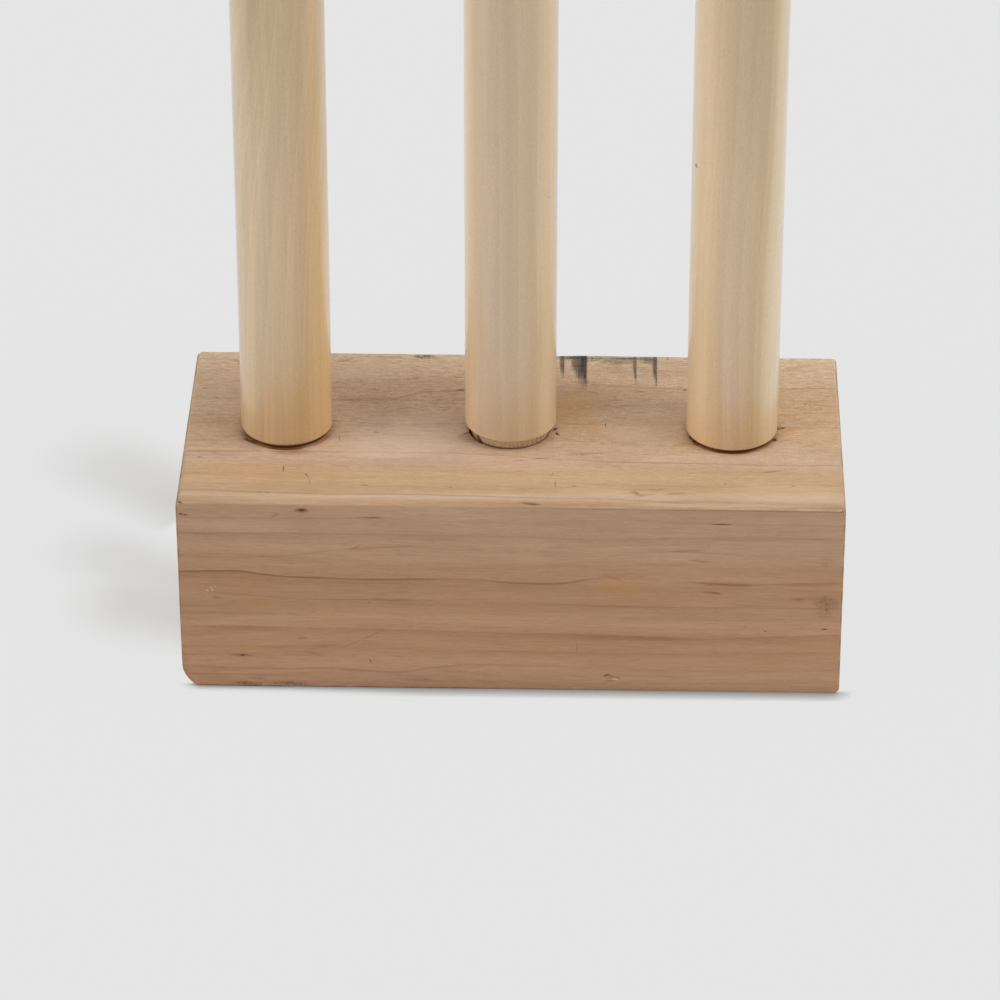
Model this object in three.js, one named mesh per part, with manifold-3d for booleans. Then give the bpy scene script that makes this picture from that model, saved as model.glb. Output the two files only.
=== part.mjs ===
// Cricket stumps that stand in a solid wooden block, with two bails on their tops.
// Millimetres, +Z up. The origin is the middle of the block's underside, X runs along the
// wicket, and the front of the block faces -Y.

import * as THREE from 'three';
import { mergeVertices } from 'three/addons/utils/BufferGeometryUtils.js';
import Module from 'manifold-3d';

const wasm = await Module();
wasm.setup();

// Wicket
const wicketHeight = 711.2; // from the ground to the tops of the stumps
const stumpSpacing = 93; // from one stump's axis to the next
const rowOffset = -1.6; // of the middle stump from the block's middle, along X

// Block
const blockLength = 274;
const blockWidth = 125.5;
const blockHeight = 89.3;
const topLeftRound = 2.4;
const topRightRound = 1.8;
const bottomRightRound = 2.2;
const wornWidth = 6.5; // of the worn left end of the underside, along X
const wornHeight = 9; // of the same wear, up the end
const wornBulgeShare = 0.35; // from a straight cut at 0 to a full round at 0.55
const faceEdgeRound = 1; // of the edges round the front and the back
const holeDepth = 60;

// Stump
const stumpDiameter = 38.1;
const tenonDiameter = 33;
const tenonClearance = 0.5; // between a tenon and its hole, all round
const tenonChamfer = 1.5;
const shoulderRound = 1;
const leftShoulderRaise = 1.3; // of a shoulder above the block
const middleShoulderRaise = 4.1;
const rightShoulderRaise = 1.3;
const domeHeight = 12;
const grooveWidth = 9.5;
const grooveDepth = 8;

// Bail
const bailEndClearance = 0.8; // between a barrel's end and the stump next to it
const bailSeatClearance = 0.3; // between a spigot's root and the groove under it
const spigotRootDiameter = 8.4;
const spigotTipDiameter = 7.6;
const spigotTipRound = 0.8;
const longSpigotLength = 34.9;
const shortSpigotGap = 1.2; // between the two spigots that meet on the middle stump
const barrelDiameter = 20.6; // at the middle
const beadDiameter = 20;
const beadWidth = 6.4;
const beadEdgeDiameter = 15.4;
const coveDiameter = 14.6;
const coveWidth = 1.8;

// Facets
const stumpSides = 48;
const bailSides = 32;
const outlineSteps = 5;
const roundSteps = 3;
const domeSteps = 8;
const grooveSteps = 12;
const beadSteps = 6;
const barrelSteps = 10;
const overrun = 1; // of every cut past the face that it opens

const stumpRadius = stumpDiameter / 2;
const tenonRadius = tenonDiameter / 2;
const holeRadius = tenonRadius + tenonClearance;
const holeFloor = blockHeight - holeDepth;
const grooveFloor = wicketHeight - grooveDepth;

// A closed geometry as a solid that can be cut
function solid(geometry) {
  const bare = geometry.clone();
  bare.deleteAttribute('normal');
  bare.deleteAttribute('uv');
  const merged = mergeVertices(bare);
  return new wasm.Manifold(new wasm.Mesh({
    numProp: 3,
    vertProperties: new Float32Array(merged.attributes.position.array),
    triVerts: new Uint32Array(merged.index.array),
  }));
}

// A solid back as a geometry
function geometryOf(body) {
  const mesh = body.getMesh();
  const geometry = new THREE.BufferGeometry();
  geometry.setAttribute('position', new THREE.BufferAttribute(mesh.vertProperties, mesh.numProp));
  geometry.setIndex(new THREE.BufferAttribute(mesh.triVerts, 1));
  geometry.computeVertexNormals();
  return geometry;
}

// A closed profile of [radius, height] points turned round the Z axis
function turned(profile, sides) {
  const points = profile.map(([radius, height]) => new THREE.Vector2(radius, height));
  return new THREE.LatheGeometry(points, sides).rotateX(Math.PI / 2);
}

// The points of a quarter round, from one axis of the ellipse to the other
function quarterRound(centreRadius, centreHeight, width, height, fromAngle, steps) {
  return Array.from({ length: steps + 1 }, (_, step) => {
    const angle = fromAngle + (Math.PI / 2) * (step / steps);
    return [centreRadius + width * Math.cos(angle), centreHeight + height * Math.sin(angle)];
  });
}

// The front outline of the block, with its own round at each corner
function blockOutline() {
  const right = blockLength / 2;
  const left = -right;
  const shape = new THREE.Shape();
  const turn = Math.PI / 2;
  const straightShare = 1 - wornBulgeShare;
  shape.moveTo(left, wornHeight);
  shape.bezierCurveTo(
    left, wornHeight * straightShare,
    left + wornWidth * straightShare, 0,
    left + wornWidth, 0,
  );
  shape.absarc(right - bottomRightRound, bottomRightRound, bottomRightRound, 3 * turn, 4 * turn);
  shape.absarc(right - topRightRound, blockHeight - topRightRound, topRightRound, 0, turn);
  shape.absarc(left + topLeftRound, blockHeight - topLeftRound, topLeftRound, turn, 2 * turn);
  return shape;
}

function stumpPlace(index) {
  return rowOffset + index * stumpSpacing;
}

function blockGeometry() {
  const plank = new THREE.ExtrudeGeometry(blockOutline(), {
    depth: blockWidth - 2 * faceEdgeRound,
    curveSegments: outlineSteps,
    bevelEnabled: true,
    bevelSegments: 2,
    bevelSize: faceEdgeRound,
    bevelThickness: faceEdgeRound,
    bevelOffset: -faceEdgeRound,
  });
  plank.translate(0, 0, faceEdgeRound - blockWidth / 2);
  plank.rotateX(Math.PI / 2);
  let body = solid(plank);
  for (const index of [-1, 0, 1]) {
    const depth = holeDepth + overrun;
    const drill = new THREE.CylinderGeometry(holeRadius, holeRadius, depth, stumpSides);
    drill.rotateX(Math.PI / 2);
    drill.translate(stumpPlace(index), 0, holeFloor + depth / 2);
    body = body.subtract(solid(drill));
  }
  return geometryOf(body);
}

// The bail groove of a stump, open at its top and both its sides
function grooveGeometry(top) {
  const radius = grooveWidth / 2;
  const shape = new THREE.Shape();
  shape.moveTo(radius, top + overrun);
  shape.lineTo(-radius, top + overrun);
  shape.absarc(0, top - grooveDepth + radius, radius, Math.PI, 2 * Math.PI);
  const reach = stumpRadius + overrun;
  const groove = new THREE.ExtrudeGeometry(shape, {
    depth: 2 * reach,
    curveSegments: grooveSteps,
    bevelEnabled: false,
  });
  groove.translate(0, 0, -reach);
  groove.rotateX(Math.PI / 2);
  groove.rotateZ(Math.PI / 2);
  return groove;
}

// A stump whose tenon stands on the floor of its hole, with that floor at zero
function stumpGeometry(shoulderRaise) {
  const shoulder = holeDepth + shoulderRaise;
  const top = wicketHeight - holeFloor;
  const profile = [
    [0, 0],
    [tenonRadius - tenonChamfer, 0],
    [tenonRadius, tenonChamfer],
    [tenonRadius, shoulder],
    ...quarterRound(
      stumpRadius - shoulderRound, shoulder + shoulderRound,
      shoulderRound, shoulderRound, -Math.PI / 2, roundSteps,
    ),
    ...quarterRound(0, top - domeHeight, stumpRadius, domeHeight, 0, domeSteps).slice(0, -1),
    [0, top],
  ];
  const body = solid(turned(profile, stumpSides));
  return geometryOf(body.subtract(solid(grooveGeometry(top))));
}

// A swelling stretch of a turned piece, from one end height to the other
function swelling(from, to, edgeRadius, crownRadius, steps) {
  return Array.from({ length: steps + 1 }, (_, step) => {
    const share = step / steps;
    const radius = edgeRadius + (crownRadius - edgeRadius) * Math.sin(Math.PI * share);
    return [radius, from + (to - from) * share];
  });
}

// A bail with its long spigot up and the middle of its barrel at zero
function bailGeometry() {
  const barrelLength = stumpSpacing - stumpDiameter - 2 * bailEndClearance;
  const shortSpigotLength = stumpRadius + bailEndClearance - shortSpigotGap / 2;
  const barrelEnd = barrelLength / 2;
  const beadEnd = barrelEnd - beadWidth;
  const swellEnd = beadEnd - coveWidth;
  const longTip = barrelEnd + longSpigotLength;
  const shortTip = -barrelEnd - shortSpigotLength;
  const rootRadius = spigotRootDiameter / 2;
  const tipRadius = spigotTipDiameter / 2;
  const beadEdgeRadius = beadEdgeDiameter / 2;
  const beadRadius = beadDiameter / 2;
  const profile = [
    [0, shortTip],
    [tipRadius - spigotTipRound, shortTip],
    [tipRadius, shortTip + spigotTipRound],
    [rootRadius, -barrelEnd],
    ...swelling(-barrelEnd, -beadEnd, beadEdgeRadius, beadRadius, beadSteps),
    [coveDiameter / 2, (-beadEnd - swellEnd) / 2],
    ...swelling(-swellEnd, swellEnd, beadEdgeRadius, barrelDiameter / 2, barrelSteps),
    [coveDiameter / 2, (beadEnd + swellEnd) / 2],
    ...swelling(beadEnd, barrelEnd, beadEdgeRadius, beadRadius, beadSteps),
    [rootRadius, barrelEnd],
    [tipRadius, longTip - spigotTipRound],
    [tipRadius - spigotTipRound, longTip],
    [0, longTip],
  ];
  return turned(profile, bailSides);
}

function blockWood() {
  return new THREE.MeshStandardMaterial({ color: '#a5835f', roughness: 0.65, metalness: 0 });
}

function stumpWood() {
  return new THREE.MeshStandardMaterial({ color: '#c8ae88', roughness: 0.4, metalness: 0 });
}

function bailWood() {
  return new THREE.MeshStandardMaterial({ color: '#cdb48e', roughness: 0.4, metalness: 0 });
}

function named(name, geometry, material) {
  const mesh = new THREE.Mesh(geometry, material);
  mesh.name = name;
  return mesh;
}

function stump(name, index, shoulderRaise) {
  const mesh = named(name, stumpGeometry(shoulderRaise), stumpWood());
  mesh.position.set(stumpPlace(index), 0, holeFloor);
  return mesh;
}

// A bail on the side of the outer stump that its long spigot lies on
function bail(name, side) {
  const mesh = named(name, bailGeometry(), bailWood());
  const height = grooveFloor + bailSeatClearance + spigotRootDiameter / 2;
  mesh.rotation.y = side * Math.PI / 2;
  mesh.position.set(rowOffset + side * stumpSpacing / 2, 0, height);
  return mesh;
}

const group = new THREE.Group();
group.add(named('base_block', blockGeometry(), blockWood()));
group.add(stump('left_stump', -1, leftShoulderRaise));
group.add(stump('middle_stump', 0, middleShoulderRaise));
group.add(stump('right_stump', 1, rightShoulderRaise));
group.add(bail('left_bail', -1));
group.add(bail('right_bail', 1));

export default group;
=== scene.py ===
import math

import bmesh
import bpy
from mathutils import Matrix, Vector, noise


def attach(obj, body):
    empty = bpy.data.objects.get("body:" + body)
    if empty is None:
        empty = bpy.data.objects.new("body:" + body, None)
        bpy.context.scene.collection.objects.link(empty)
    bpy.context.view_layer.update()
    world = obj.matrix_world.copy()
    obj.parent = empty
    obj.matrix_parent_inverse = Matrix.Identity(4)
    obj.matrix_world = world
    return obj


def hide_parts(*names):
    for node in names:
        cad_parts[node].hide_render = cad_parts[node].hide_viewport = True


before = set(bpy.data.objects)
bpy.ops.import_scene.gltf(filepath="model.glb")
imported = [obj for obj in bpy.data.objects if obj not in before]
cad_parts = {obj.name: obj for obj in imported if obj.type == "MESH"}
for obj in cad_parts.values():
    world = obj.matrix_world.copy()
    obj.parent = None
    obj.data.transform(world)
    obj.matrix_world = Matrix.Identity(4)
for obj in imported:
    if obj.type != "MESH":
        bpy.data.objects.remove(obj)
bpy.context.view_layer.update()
mm = 0.001
bpy.context.scene.view_settings.view_transform = "Standard"


# The camera stands where the photograph was taken from
shot = {
    "azimuth": 1.292,          # degrees to the right of straight ahead
    "elevation": 31.161,
    "distance": 2.2003,        # from the target
    "target": (-0.0056, 0.0, 0.05426),
    "lens": 187.787,
    "sensor": 36.0,
    "pixels": 1000,            # the picture's width and height
    "clip": (0.05, 50),
}

turn = math.radians(shot["azimuth"])
rise = math.radians(shot["elevation"])
toEye = Vector((math.sin(turn) * math.cos(rise), -math.cos(turn) * math.cos(rise), math.sin(rise)))
toRight = Vector((math.cos(turn), math.sin(turn), 0))
toTop = toEye.cross(toRight)
eye = Vector(shot["target"]) + toEye * shot["distance"]
focal = shot["lens"] / shot["sensor"] * shot["pixels"]


def makeCamera():
    data = bpy.data.cameras.new("photoCamera")
    data.lens = shot["lens"]
    data.sensor_width = shot["sensor"]
    data.clip_start, data.clip_end = shot["clip"]
    camera = bpy.data.objects.new("photoCamera", data)
    bpy.context.collection.objects.link(camera)
    place = Matrix((toRight, toTop, toEye)).transposed().to_4x4()
    place.translation = eye
    camera.matrix_world = place
    bpy.context.scene.camera = camera


# The direction of sight through a pixel
def sightLine(px, py):
    half = shot["pixels"] / 2
    return toRight * ((px - half) / focal) - toTop * ((py - half) / focal) - toEye


# Where the line of sight through a pixel meets the plane at a level along an axis
def throughPixel(px, py, axis, level):
    ray = sightLine(px, py)
    return eye + ray * ((level - eye[axis]) / ray[axis])


makeCamera()


# Lights, floor and background
studio = {
    "backdrop": (0.784, 0.784, 0.784),   # pale grey behind the wicket
    "fill": 0.36,                        # even light from all round
    "floorSize": 12,
    "floorDrop": 0.0002,                 # how far the floor lies below the block's foot
    "floorGlow": 0.97,                   # share of the floor's look without shadow, outside the shadows
    # painted contact shadow: the floor's colour right at the block's foot
    "contact": (0.29, 0.28, 0.27),       # the floor's colour right at the block's foot
    "contactReach": 0.007,
    "contactSide": (60, 63),             # distance from the row at which this colour sets in, in mm
    "contactSpan": (-125, -30),          # x at which it is thinnest and widest, in mm
    "contactPower": (3.1, 0.7),          # how quickly it fades at these two
    # the shadow behind the block: where it fades towards the back, the front and the sides, in mm
    "behind": {"back": (205, 120), "front": (-60, 0), "sides": (142, 95), "strength": 0.45},
    # where the soft shadows fall: pixel x, y, x, y, half width in mm, strength
    "shadows": {
        "middleStump": (30, 426, 200, 503, 38, 0.68),
        "leftStump": (30, 524, 185, 590, 34, 0.36),
        "blockEnd": (30, 588, 200, 610, 42, 0.42),
    },
    "suns": {
        # name: (degrees round from the front towards the right, elevation, strength, width in degrees)
        "sunKey": (68, 60, 0.29, 20),
        "sunOver": (0, 78, 0.28, 55),
        "sunLeft": (-64, 24, 0.17, 40),
        "sunRight": (68, 22, 0.09, 50),
    },
}


def makeLights():
    for name, (around, height, strength, width) in studio["suns"].items():
        data = bpy.data.lights.new(name, "SUN")
        data.energy = strength * math.pi
        data.angle = math.radians(width)
        sun = bpy.data.objects.new(name, data)
        bpy.context.collection.objects.link(sun)
        side = math.radians(around)
        lift = math.radians(height)
        source = Vector((math.sin(side) * math.cos(lift), -math.cos(side) * math.cos(lift), math.sin(lift)))
        sun.rotation_euler = source.to_track_quat("Z", "Y").to_euler()
        sun.location = source * 3


# A shader socket that takes part in ordinary arithmetic
class Wire:
    def __init__(self, finish, socket):
        self.finish = finish
        self.socket = socket

    def maths(self, operation, *values):
        return self.finish.node("Math", {"operation": operation}, dict(enumerate(values)))

    def __add__(self, other):
        return self.maths("ADD", self, other)

    def __radd__(self, other):
        return self.maths("ADD", other, self)

    def __sub__(self, other):
        return self.maths("SUBTRACT", self, other)

    def __rsub__(self, other):
        return self.maths("SUBTRACT", other, self)

    def __mul__(self, other):
        return self.maths("MULTIPLY", self, other)

    def __rmul__(self, other):
        return self.maths("MULTIPLY", other, self)

    def __truediv__(self, other):
        return self.maths("DIVIDE", self, other)

    def __rtruediv__(self, other):
        return self.maths("DIVIDE", other, self)

    def __pow__(self, other):
        return self.maths("POWER", self, other)

    def __abs__(self):
        return self.maths("ABSOLUTE", self)


# A material under construction
class Finish:
    def __init__(self, name, tree=None):
        self.material = None
        if tree is None:
            self.material = bpy.data.materials.new(name)
            self.material.use_nodes = True
            tree = self.material.node_tree
        self.tree = tree
        self.tree.nodes.clear()

    def node(self, kind, settings=None, links=None, output=0):
        made = self.tree.nodes.new("ShaderNode" + kind)
        for name, value in (settings or {}).items():
            if name == "stops":
                setStops(made.color_ramp, value)
            elif name == "curve":
                setCurve(made.mapping, value)
            else:
                setattr(made, name, value)
        for name, value in (links or {}).items():
            socket = made.inputs[name]
            if isinstance(value, Wire):
                self.tree.links.new(value.socket, socket)
            else:
                socket.default_value = value
        return None if output is None else Wire(self, made.outputs[output])

    def least(self, first, second):
        return self.node("Math", {"operation": "MINIMUM"}, {0: first, 1: second})

    def most(self, first, second):
        return self.node("Math", {"operation": "MAXIMUM"}, {0: first, 1: second})

    # The strongest of several masks at each place
    def strongest(self, masks):
        result = None
        for mask in masks:
            result = mask if result is None else self.most(result, mask)
        return result

    def fraction(self, value):
        return self.node("Math", {"operation": "FRACT"}, {0: value})

    def length(self, vector):
        return self.node("VectorMath", {"operation": "LENGTH"}, {0: vector}, "Value")

    # From one range to another, eased at both ends
    def ease(self, value, start, end, low=0.0, high=1.0):
        return self.node(
            "MapRange", {"interpolation_type": "SMOOTHSTEP", "clamp": False},
            {"Value": value, "From Min": start, "From Max": end, "To Min": low, "To Max": high},
        )

    def blend(self, amount, first, second, how="MIX"):
        settings = {"data_type": "RGBA", "blend_type": how}
        return self.node("Mix", settings, {0: amount, 6: first, 7: second}, 2)

    # Noise with its own size along each axis, in mm
    def noise(self, point, sizes, detail, roughness, shift):
        scale = [1 / size for size in sizes]
        place = self.node(
            "VectorMath", {"operation": "MULTIPLY_ADD"},
            {0: point, 1: scale, 2: (shift, shift * 0.7, -shift)},
        )
        return self.node(
            "TexNoise", {}, {"Vector": place, "Scale": 1.0, "Detail": detail, "Roughness": roughness},
        )

    def parts(self, vector):
        split = self.node("SeparateXYZ", {}, {0: vector}).socket.node
        return [Wire(self, socket) for socket in split.outputs]

    def joined(self, x, y, z):
        return self.node("CombineXYZ", {}, {0: x, 1: y, 2: z})

    def millimetres(self):
        spot = self.node("TexCoord", {}, {}, "Object")
        return self.node("VectorMath", {"operation": "SCALE"}, {0: spot, "Scale": 1000.0})

    # The material's end, with the surface's height in mm
    def close(self, colour, rough, height, **fixed):
        bump = self.node("Bump", {}, {"Height": height, "Distance": mm, "Strength": 1.0})
        sockets = {"Base Color": colour, "Roughness": rough, "Normal": bump}
        sockets.update(fixed)
        shader = self.node("BsdfPrincipled", {}, sockets)
        self.node("OutputMaterial", {}, {"Surface": shader}, None)
        return self.material


def setStops(ramp, stops):
    while len(ramp.elements) > 1:
        ramp.elements.remove(ramp.elements[-1])
    ramp.elements[0].position = stops[0][0]
    ramp.elements[0].color = stops[0][1]
    for place, colour in stops[1:]:
        ramp.elements.new(place).color = colour


def setCurve(mapping, points):
    curve = mapping.curves[0]
    curve.points[0].location = points[0]
    curve.points[-1].location = points[-1]
    for point in points[1:-1]:
        curve.points.new(*point)
    mapping.update()


# A colour from its 0 to 255 numbers, as light
def paint(red, green, blue):
    def light(level):
        share = level / 255
        return share / 12.92 if share <= 0.04045 else ((share + 0.055) / 1.055) ** 2.4
    return (light(red), light(green), light(blue), 1.0)


# Even light from all round, and the pale background that the camera and gloss see
def makeSky():
    world = bpy.data.worlds.new("studio")
    bpy.context.scene.world = world
    world.use_nodes = True
    air = Finish("studio", world.node_tree)
    path = air.node("LightPath").socket.node
    seen = Wire(air, path.outputs["Is Camera Ray"])
    for ray in ("Is Glossy Ray", "Is Transmission Ray"):
        seen = air.most(seen, Wire(air, path.outputs[ray]))
    fill = studio["fill"]
    shade = air.blend(seen, (fill, fill, fill, 1), (*studio["backdrop"], 1))
    light = air.node("Background", {}, {"Color": shade, "Strength": 1.0})
    air.node("OutputWorld", {}, {"Surface": light}, None)


# How much of the lights' shadows shows at each place of the floor
def floorShade(paper, x, y):
    behind = studio["behind"]
    shade = paper.ease(y, *behind["back"]) * paper.ease(y, *behind["front"])
    shade = shade * paper.ease(abs(x), *behind["sides"]) * behind["strength"]
    for x0, y0, x1, y1, wide, strength in studio["shadows"].values():
        start, end = throughPixel(x0, y0, 2, 0) / mm, throughPixel(x1, y1, 2, 0) / mm
        centre, reach = (start + end) / 2, (end - start) / 2
        u = ((x - centre.x) * reach.x + (y - centre.y) * reach.y) / reach.length ** 2
        v = ((y - centre.y) * reach.x - (x - centre.x) * reach.y) / (reach.length * wide)
        one = paper.ease(u, -0.9, 0.1) * paper.ease(u, 1.1, 1.0) * paper.ease(abs(v), 1.0, 0.1, 0.0, strength)
        shade = paper.most(shade, one)
    return shade


def makeFloor():
    bpy.ops.mesh.primitive_plane_add(size=studio["floorSize"], location=(0, 0, -studio["floorDrop"]))
    floor = bpy.context.object
    floor.name = "studioFloor"
    paper = Finish("studioPaper")
    x, y = paper.parts(paper.millimetres())[:2]
    # Painted contact shadow along the block's foot, from how much of the sky is hidden there
    unhidden = paper.node("AmbientOcclusion", {"samples": 8}, {"Distance": studio["contactReach"]}, 1)
    power = paper.ease(x, *studio["contactSpan"], *studio["contactPower"])
    hidden = ((1 - unhidden) * 2) ** power * paper.ease(abs(y), *studio["contactSide"])
    colour = paper.blend(hidden, (*studio["backdrop"], 1), (*studio["contact"], 1))
    share = (1 - floorShade(paper, x, y)) * studio["floorGlow"]
    matt = paper.node("BsdfDiffuse", {}, {"Color": colour, "Roughness": 0.0})
    glow = paper.node("Emission", {}, {"Color": colour, "Strength": 1.0})
    seen = Wire(paper, paper.node("LightPath").socket.node.outputs["Is Camera Ray"])
    both = paper.node("MixShader", {}, {0: seen * share, 1: matt, 2: glow})
    paper.node("OutputMaterial", {}, {"Surface": both}, None)
    floor.data.materials.append(paper.material)


makeLights()
makeSky()
makeFloor()
print("studio: done")


# Sizes of the wicket, in mm
wicket = {
    "height": 711.2,
    "spacing": 93.0,
    "rowOffset": -1.6,
    "side": {"left_stump": -1, "middle_stump": 0, "right_stump": 1},
}


def stumpX(side):
    return wicket["rowOffset"] + side * wicket["spacing"]


# A smooth random number for a place, the same on each run
def wobble(x, y, z):
    return noise.noise(Vector((x, y, z)))


def between(least, most, share):
    return least + (most - least) * min(1, max(0, share))


# A piece made of corners and faces, with the corners in mm
def makePiece(name, corners, faces):
    mesh = bpy.data.meshes.new(name)
    mesh.from_pydata([Vector(corner) * mm for corner in corners], [], faces)
    mesh.validate()
    piece = bpy.data.objects.new(name, mesh)
    bpy.context.collection.objects.link(piece)
    return piece


# Rings of corners joined into a closed skin, with a face over each end
def skin(rings):
    count = len(rings[0])
    corners = [corner for ring in rings for corner in ring]
    faces = []
    for row in range(len(rings) - 1):
        for step in range(count):
            near = row * count + step
            far = row * count + (step + 1) % count
            faces.append((near, far, far + count, near + count))
    faces.append(tuple(reversed(range(count))))
    faces.append(tuple((len(rings) - 1) * count + step for step in range(count)))
    return corners, faces


# A profile of (radius, height) turned round an upright axis
def turned(profile, sides, x=0.0):
    rings = []
    for radius, height in profile:
        ring = []
        for step in range(sides):
            angle = 2 * math.pi * step / sides
            ring.append((x + radius * math.cos(angle), radius * math.sin(angle), height))
        rings.append(ring)
    return skin(rings)


# Cuts a tool out of a piece, and keeps the result
def carve(piece, tool, overlapping=False):
    cut = piece.modifiers.new("cut", "BOOLEAN")
    cut.operation = "DIFFERENCE"
    cut.solver = "EXACT"
    cut.use_self = overlapping
    cut.object = tool
    settle(piece)
    bpy.data.objects.remove(tool)


# Makes the modifiers' result the piece's own mesh
def settle(piece):
    bpy.context.view_layer.update()
    graph = bpy.context.evaluated_depsgraph_get()
    mesh = bpy.data.meshes.new_from_object(piece.evaluated_get(graph))
    piece.modifiers.clear()
    piece.data = mesh


# Smooth faces with sharp edges where they meet at more than an angle
def smoothOver(piece, degrees):
    for face in piece.data.polygons:
        face.use_smooth = True
    piece.data.set_sharp_from_angle(angle=math.radians(degrees))
    firm = piece.modifiers.new("flatFacesStayFlat", "WEIGHTED_NORMAL")
    firm.keep_sharp = True


# Gives a piece its finish and its body, and hides the CAD part that it stands in for
def dress(piece, material, body, node):
    piece.data.materials.clear()
    piece.data.materials.append(material)
    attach(piece, body)
    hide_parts(node)


block = {
    "length": 274.0,
    "width": 125.5,
    "height": 89.3,
    "topLeftRound": 2.4,
    "topRightRound": 1.8,
    "bottomRightRound": 2.2,
    "wornWidth": 6.5,            # of the worn left end of the underside
    "wornHeight": 9.0,
    "wornBulge": 0.35,
    "wornShare": 0.6,            # of the corner wear, on the worn left end
    "edgeWear": (0.5, 1.4),      # least and most rounding of the front and back edges
    "cornerWear": 0.45,          # further wear of the long corners
    "footWear": 0.3,             # share of the edge wear that is left at the foot
    "footReach": 14.0,           # height over which that share grows by 1
    "holeDiameter": 34.0,
    "holeDepth": 60.0,
    "holeSides": 72,
    "rimWear": {-1: (0.3, 0.9), 0: (0.08, 0.3), 1: (0.12, 0.45)},    # least and most, by side
    "step": 7.0,                 # between corners of the skin along straight stretches
    "row": 5.0,                  # between rows of the skin, from the front to the back
    "rowMargin": 2.5,            # from the front and the back to the nearest row
    "border": 0.8,               # a narrow flat border inside each worn edge
    "inside": 0.01,              # how far the skin keeps inside the block's box
    "footInset": 0.4,            # how far the left end leans in at its foot
    # bits broken out: (pixel x, pixel y, face, length, depth into the row, height), in mm
    "chips": {
        "leftRim": (251.5, 441.0, "top", 3.2, 2.6, 3.0),
        "leftRimSplinter": (247.0, 439.5, "top", 2.6, 0.9, 1.0),
        "middleRimLeft": (481.0, 442.0, "top", 1.8, 1.6, 2.0),
        "middleCrack": (467.4, 433.0, "top", 3.4, 0.9, 0.9),
        "middleRimRight": (553.6, 429.5, "top", 2.4, 2.0, 1.8),
        "middleRimFlake": (556.8, 434.0, "top", 1.6, 1.8, 1.0),
        "middleRimSliver": (546.0, 435.8, "top", 2.2, 1.6, 1.6),
        "rightRimLeft": (697.5, 441.0, "top", 5.0, 2.4, 2.6),
        "rightRimSplinter": (691.0, 438.0, "top", 3.2, 1.2, 1.2),
        "rightRimBack": (780.0, 428.0, "top", 3.4, 1.8, 2.2),
        "rightRimFront": (773.6, 440.4, "top", 2.8, 2.2, 2.6),
        "topLeftCorner": (177.6, 501.8, "top", 1.8, 1.6, 2.0),
        "topRightCorner": (844.2, 510.5, "front", 2.6, 1.6, 4.2),
        "footChip": (611.5, 678.6, "front", 7.4, 0.7, 1.7),
        "footChipDeep": (607.4, 676.4, "front", 3.0, 1.1, 2.2),
        "knotPit": (301.3, 510.0, "front", 3.2, 0.5, 1.3),
        "edgeDent": (531.0, 503.0, "top", 6.5, 0.9, 0.7),
    },
}


# Where a pixel of the photograph lies on the block's top or front, in mm
def onTop(px, py):
    return throughPixel(px, py, 2, block["height"] * mm) / mm


def onFront(px, py):
    return throughPixel(px, py, 1, -block["width"] / 2 * mm) / mm


# The block's front outline as (x, z, outward x, outward z, corner share)
def blockOutline():
    right = block["length"] / 2
    left = -right
    top = block["height"]
    points = []

    def straight(fromX, fromZ, toX, toZ, outX, outZ):
        count = max(2, round(math.hypot(toX - fromX, toZ - fromZ) / block["step"]))
        for step in range(1, count):
            share = step / count
            points.append((fromX + (toX - fromX) * share, fromZ + (toZ - fromZ) * share, outX, outZ, 0.0))

    def corner(x, z, radius, fromAngle):
        half = 3
        for step in range(2 * half + 1):
            angle = math.radians(fromAngle + 45 * step / half)
            outX, outZ = math.cos(angle), math.sin(angle)
            share = 1 - abs(step - half) / half
            points.append((x + radius * outX, z + radius * outZ, outX, outZ, share))

    wide, tall, pull = block["wornWidth"], block["wornHeight"], 1 - block["wornBulge"]
    hull = [(left, tall), (left, tall * pull), (left + wide * pull, 0), (left + wide, 0)]
    count = 12
    for step in range(count + 1):
        t = step / count
        weights = ((1 - t) ** 3, 3 * t * (1 - t) ** 2, 3 * t * t * (1 - t), t ** 3)
        slopes = (-(1 - t) ** 2, (1 - t) ** 2 - 2 * t * (1 - t), 2 * t * (1 - t) - t * t, t * t)
        x, z = (sum(w * p[axis] for w, p in zip(weights, hull)) for axis in (0, 1))
        alongX, alongZ = (sum(w * p[axis] for w, p in zip(slopes, hull)) for axis in (0, 1))
        size = math.hypot(alongX, alongZ)
        points.append((x, z, alongZ / size, -alongX / size, block["wornShare"]))
    lowRound, topRight, topLeft = block["bottomRightRound"], block["topRightRound"], block["topLeftRound"]
    straight(left + wide, 0, right - lowRound, 0, 0, -1)
    corner(right - lowRound, lowRound, lowRound, -90)
    straight(right, lowRound, right, top - topRight, 1, 0)
    corner(right - topRight, top - topRight, topRight, 0)
    straight(right - topRight, top, left + topLeft, top, 0, 1)
    corner(left + topLeft, top - topLeft, topLeft, 90)
    straight(left, top - topLeft, left, tall, -1, 0)

    def leaned(x, z):
        return x + block["footInset"] * (1 - z / top) if x <= left + wide else x

    return [(leaned(x, z), z, *rest) for x, z, *rest in points]


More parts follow.
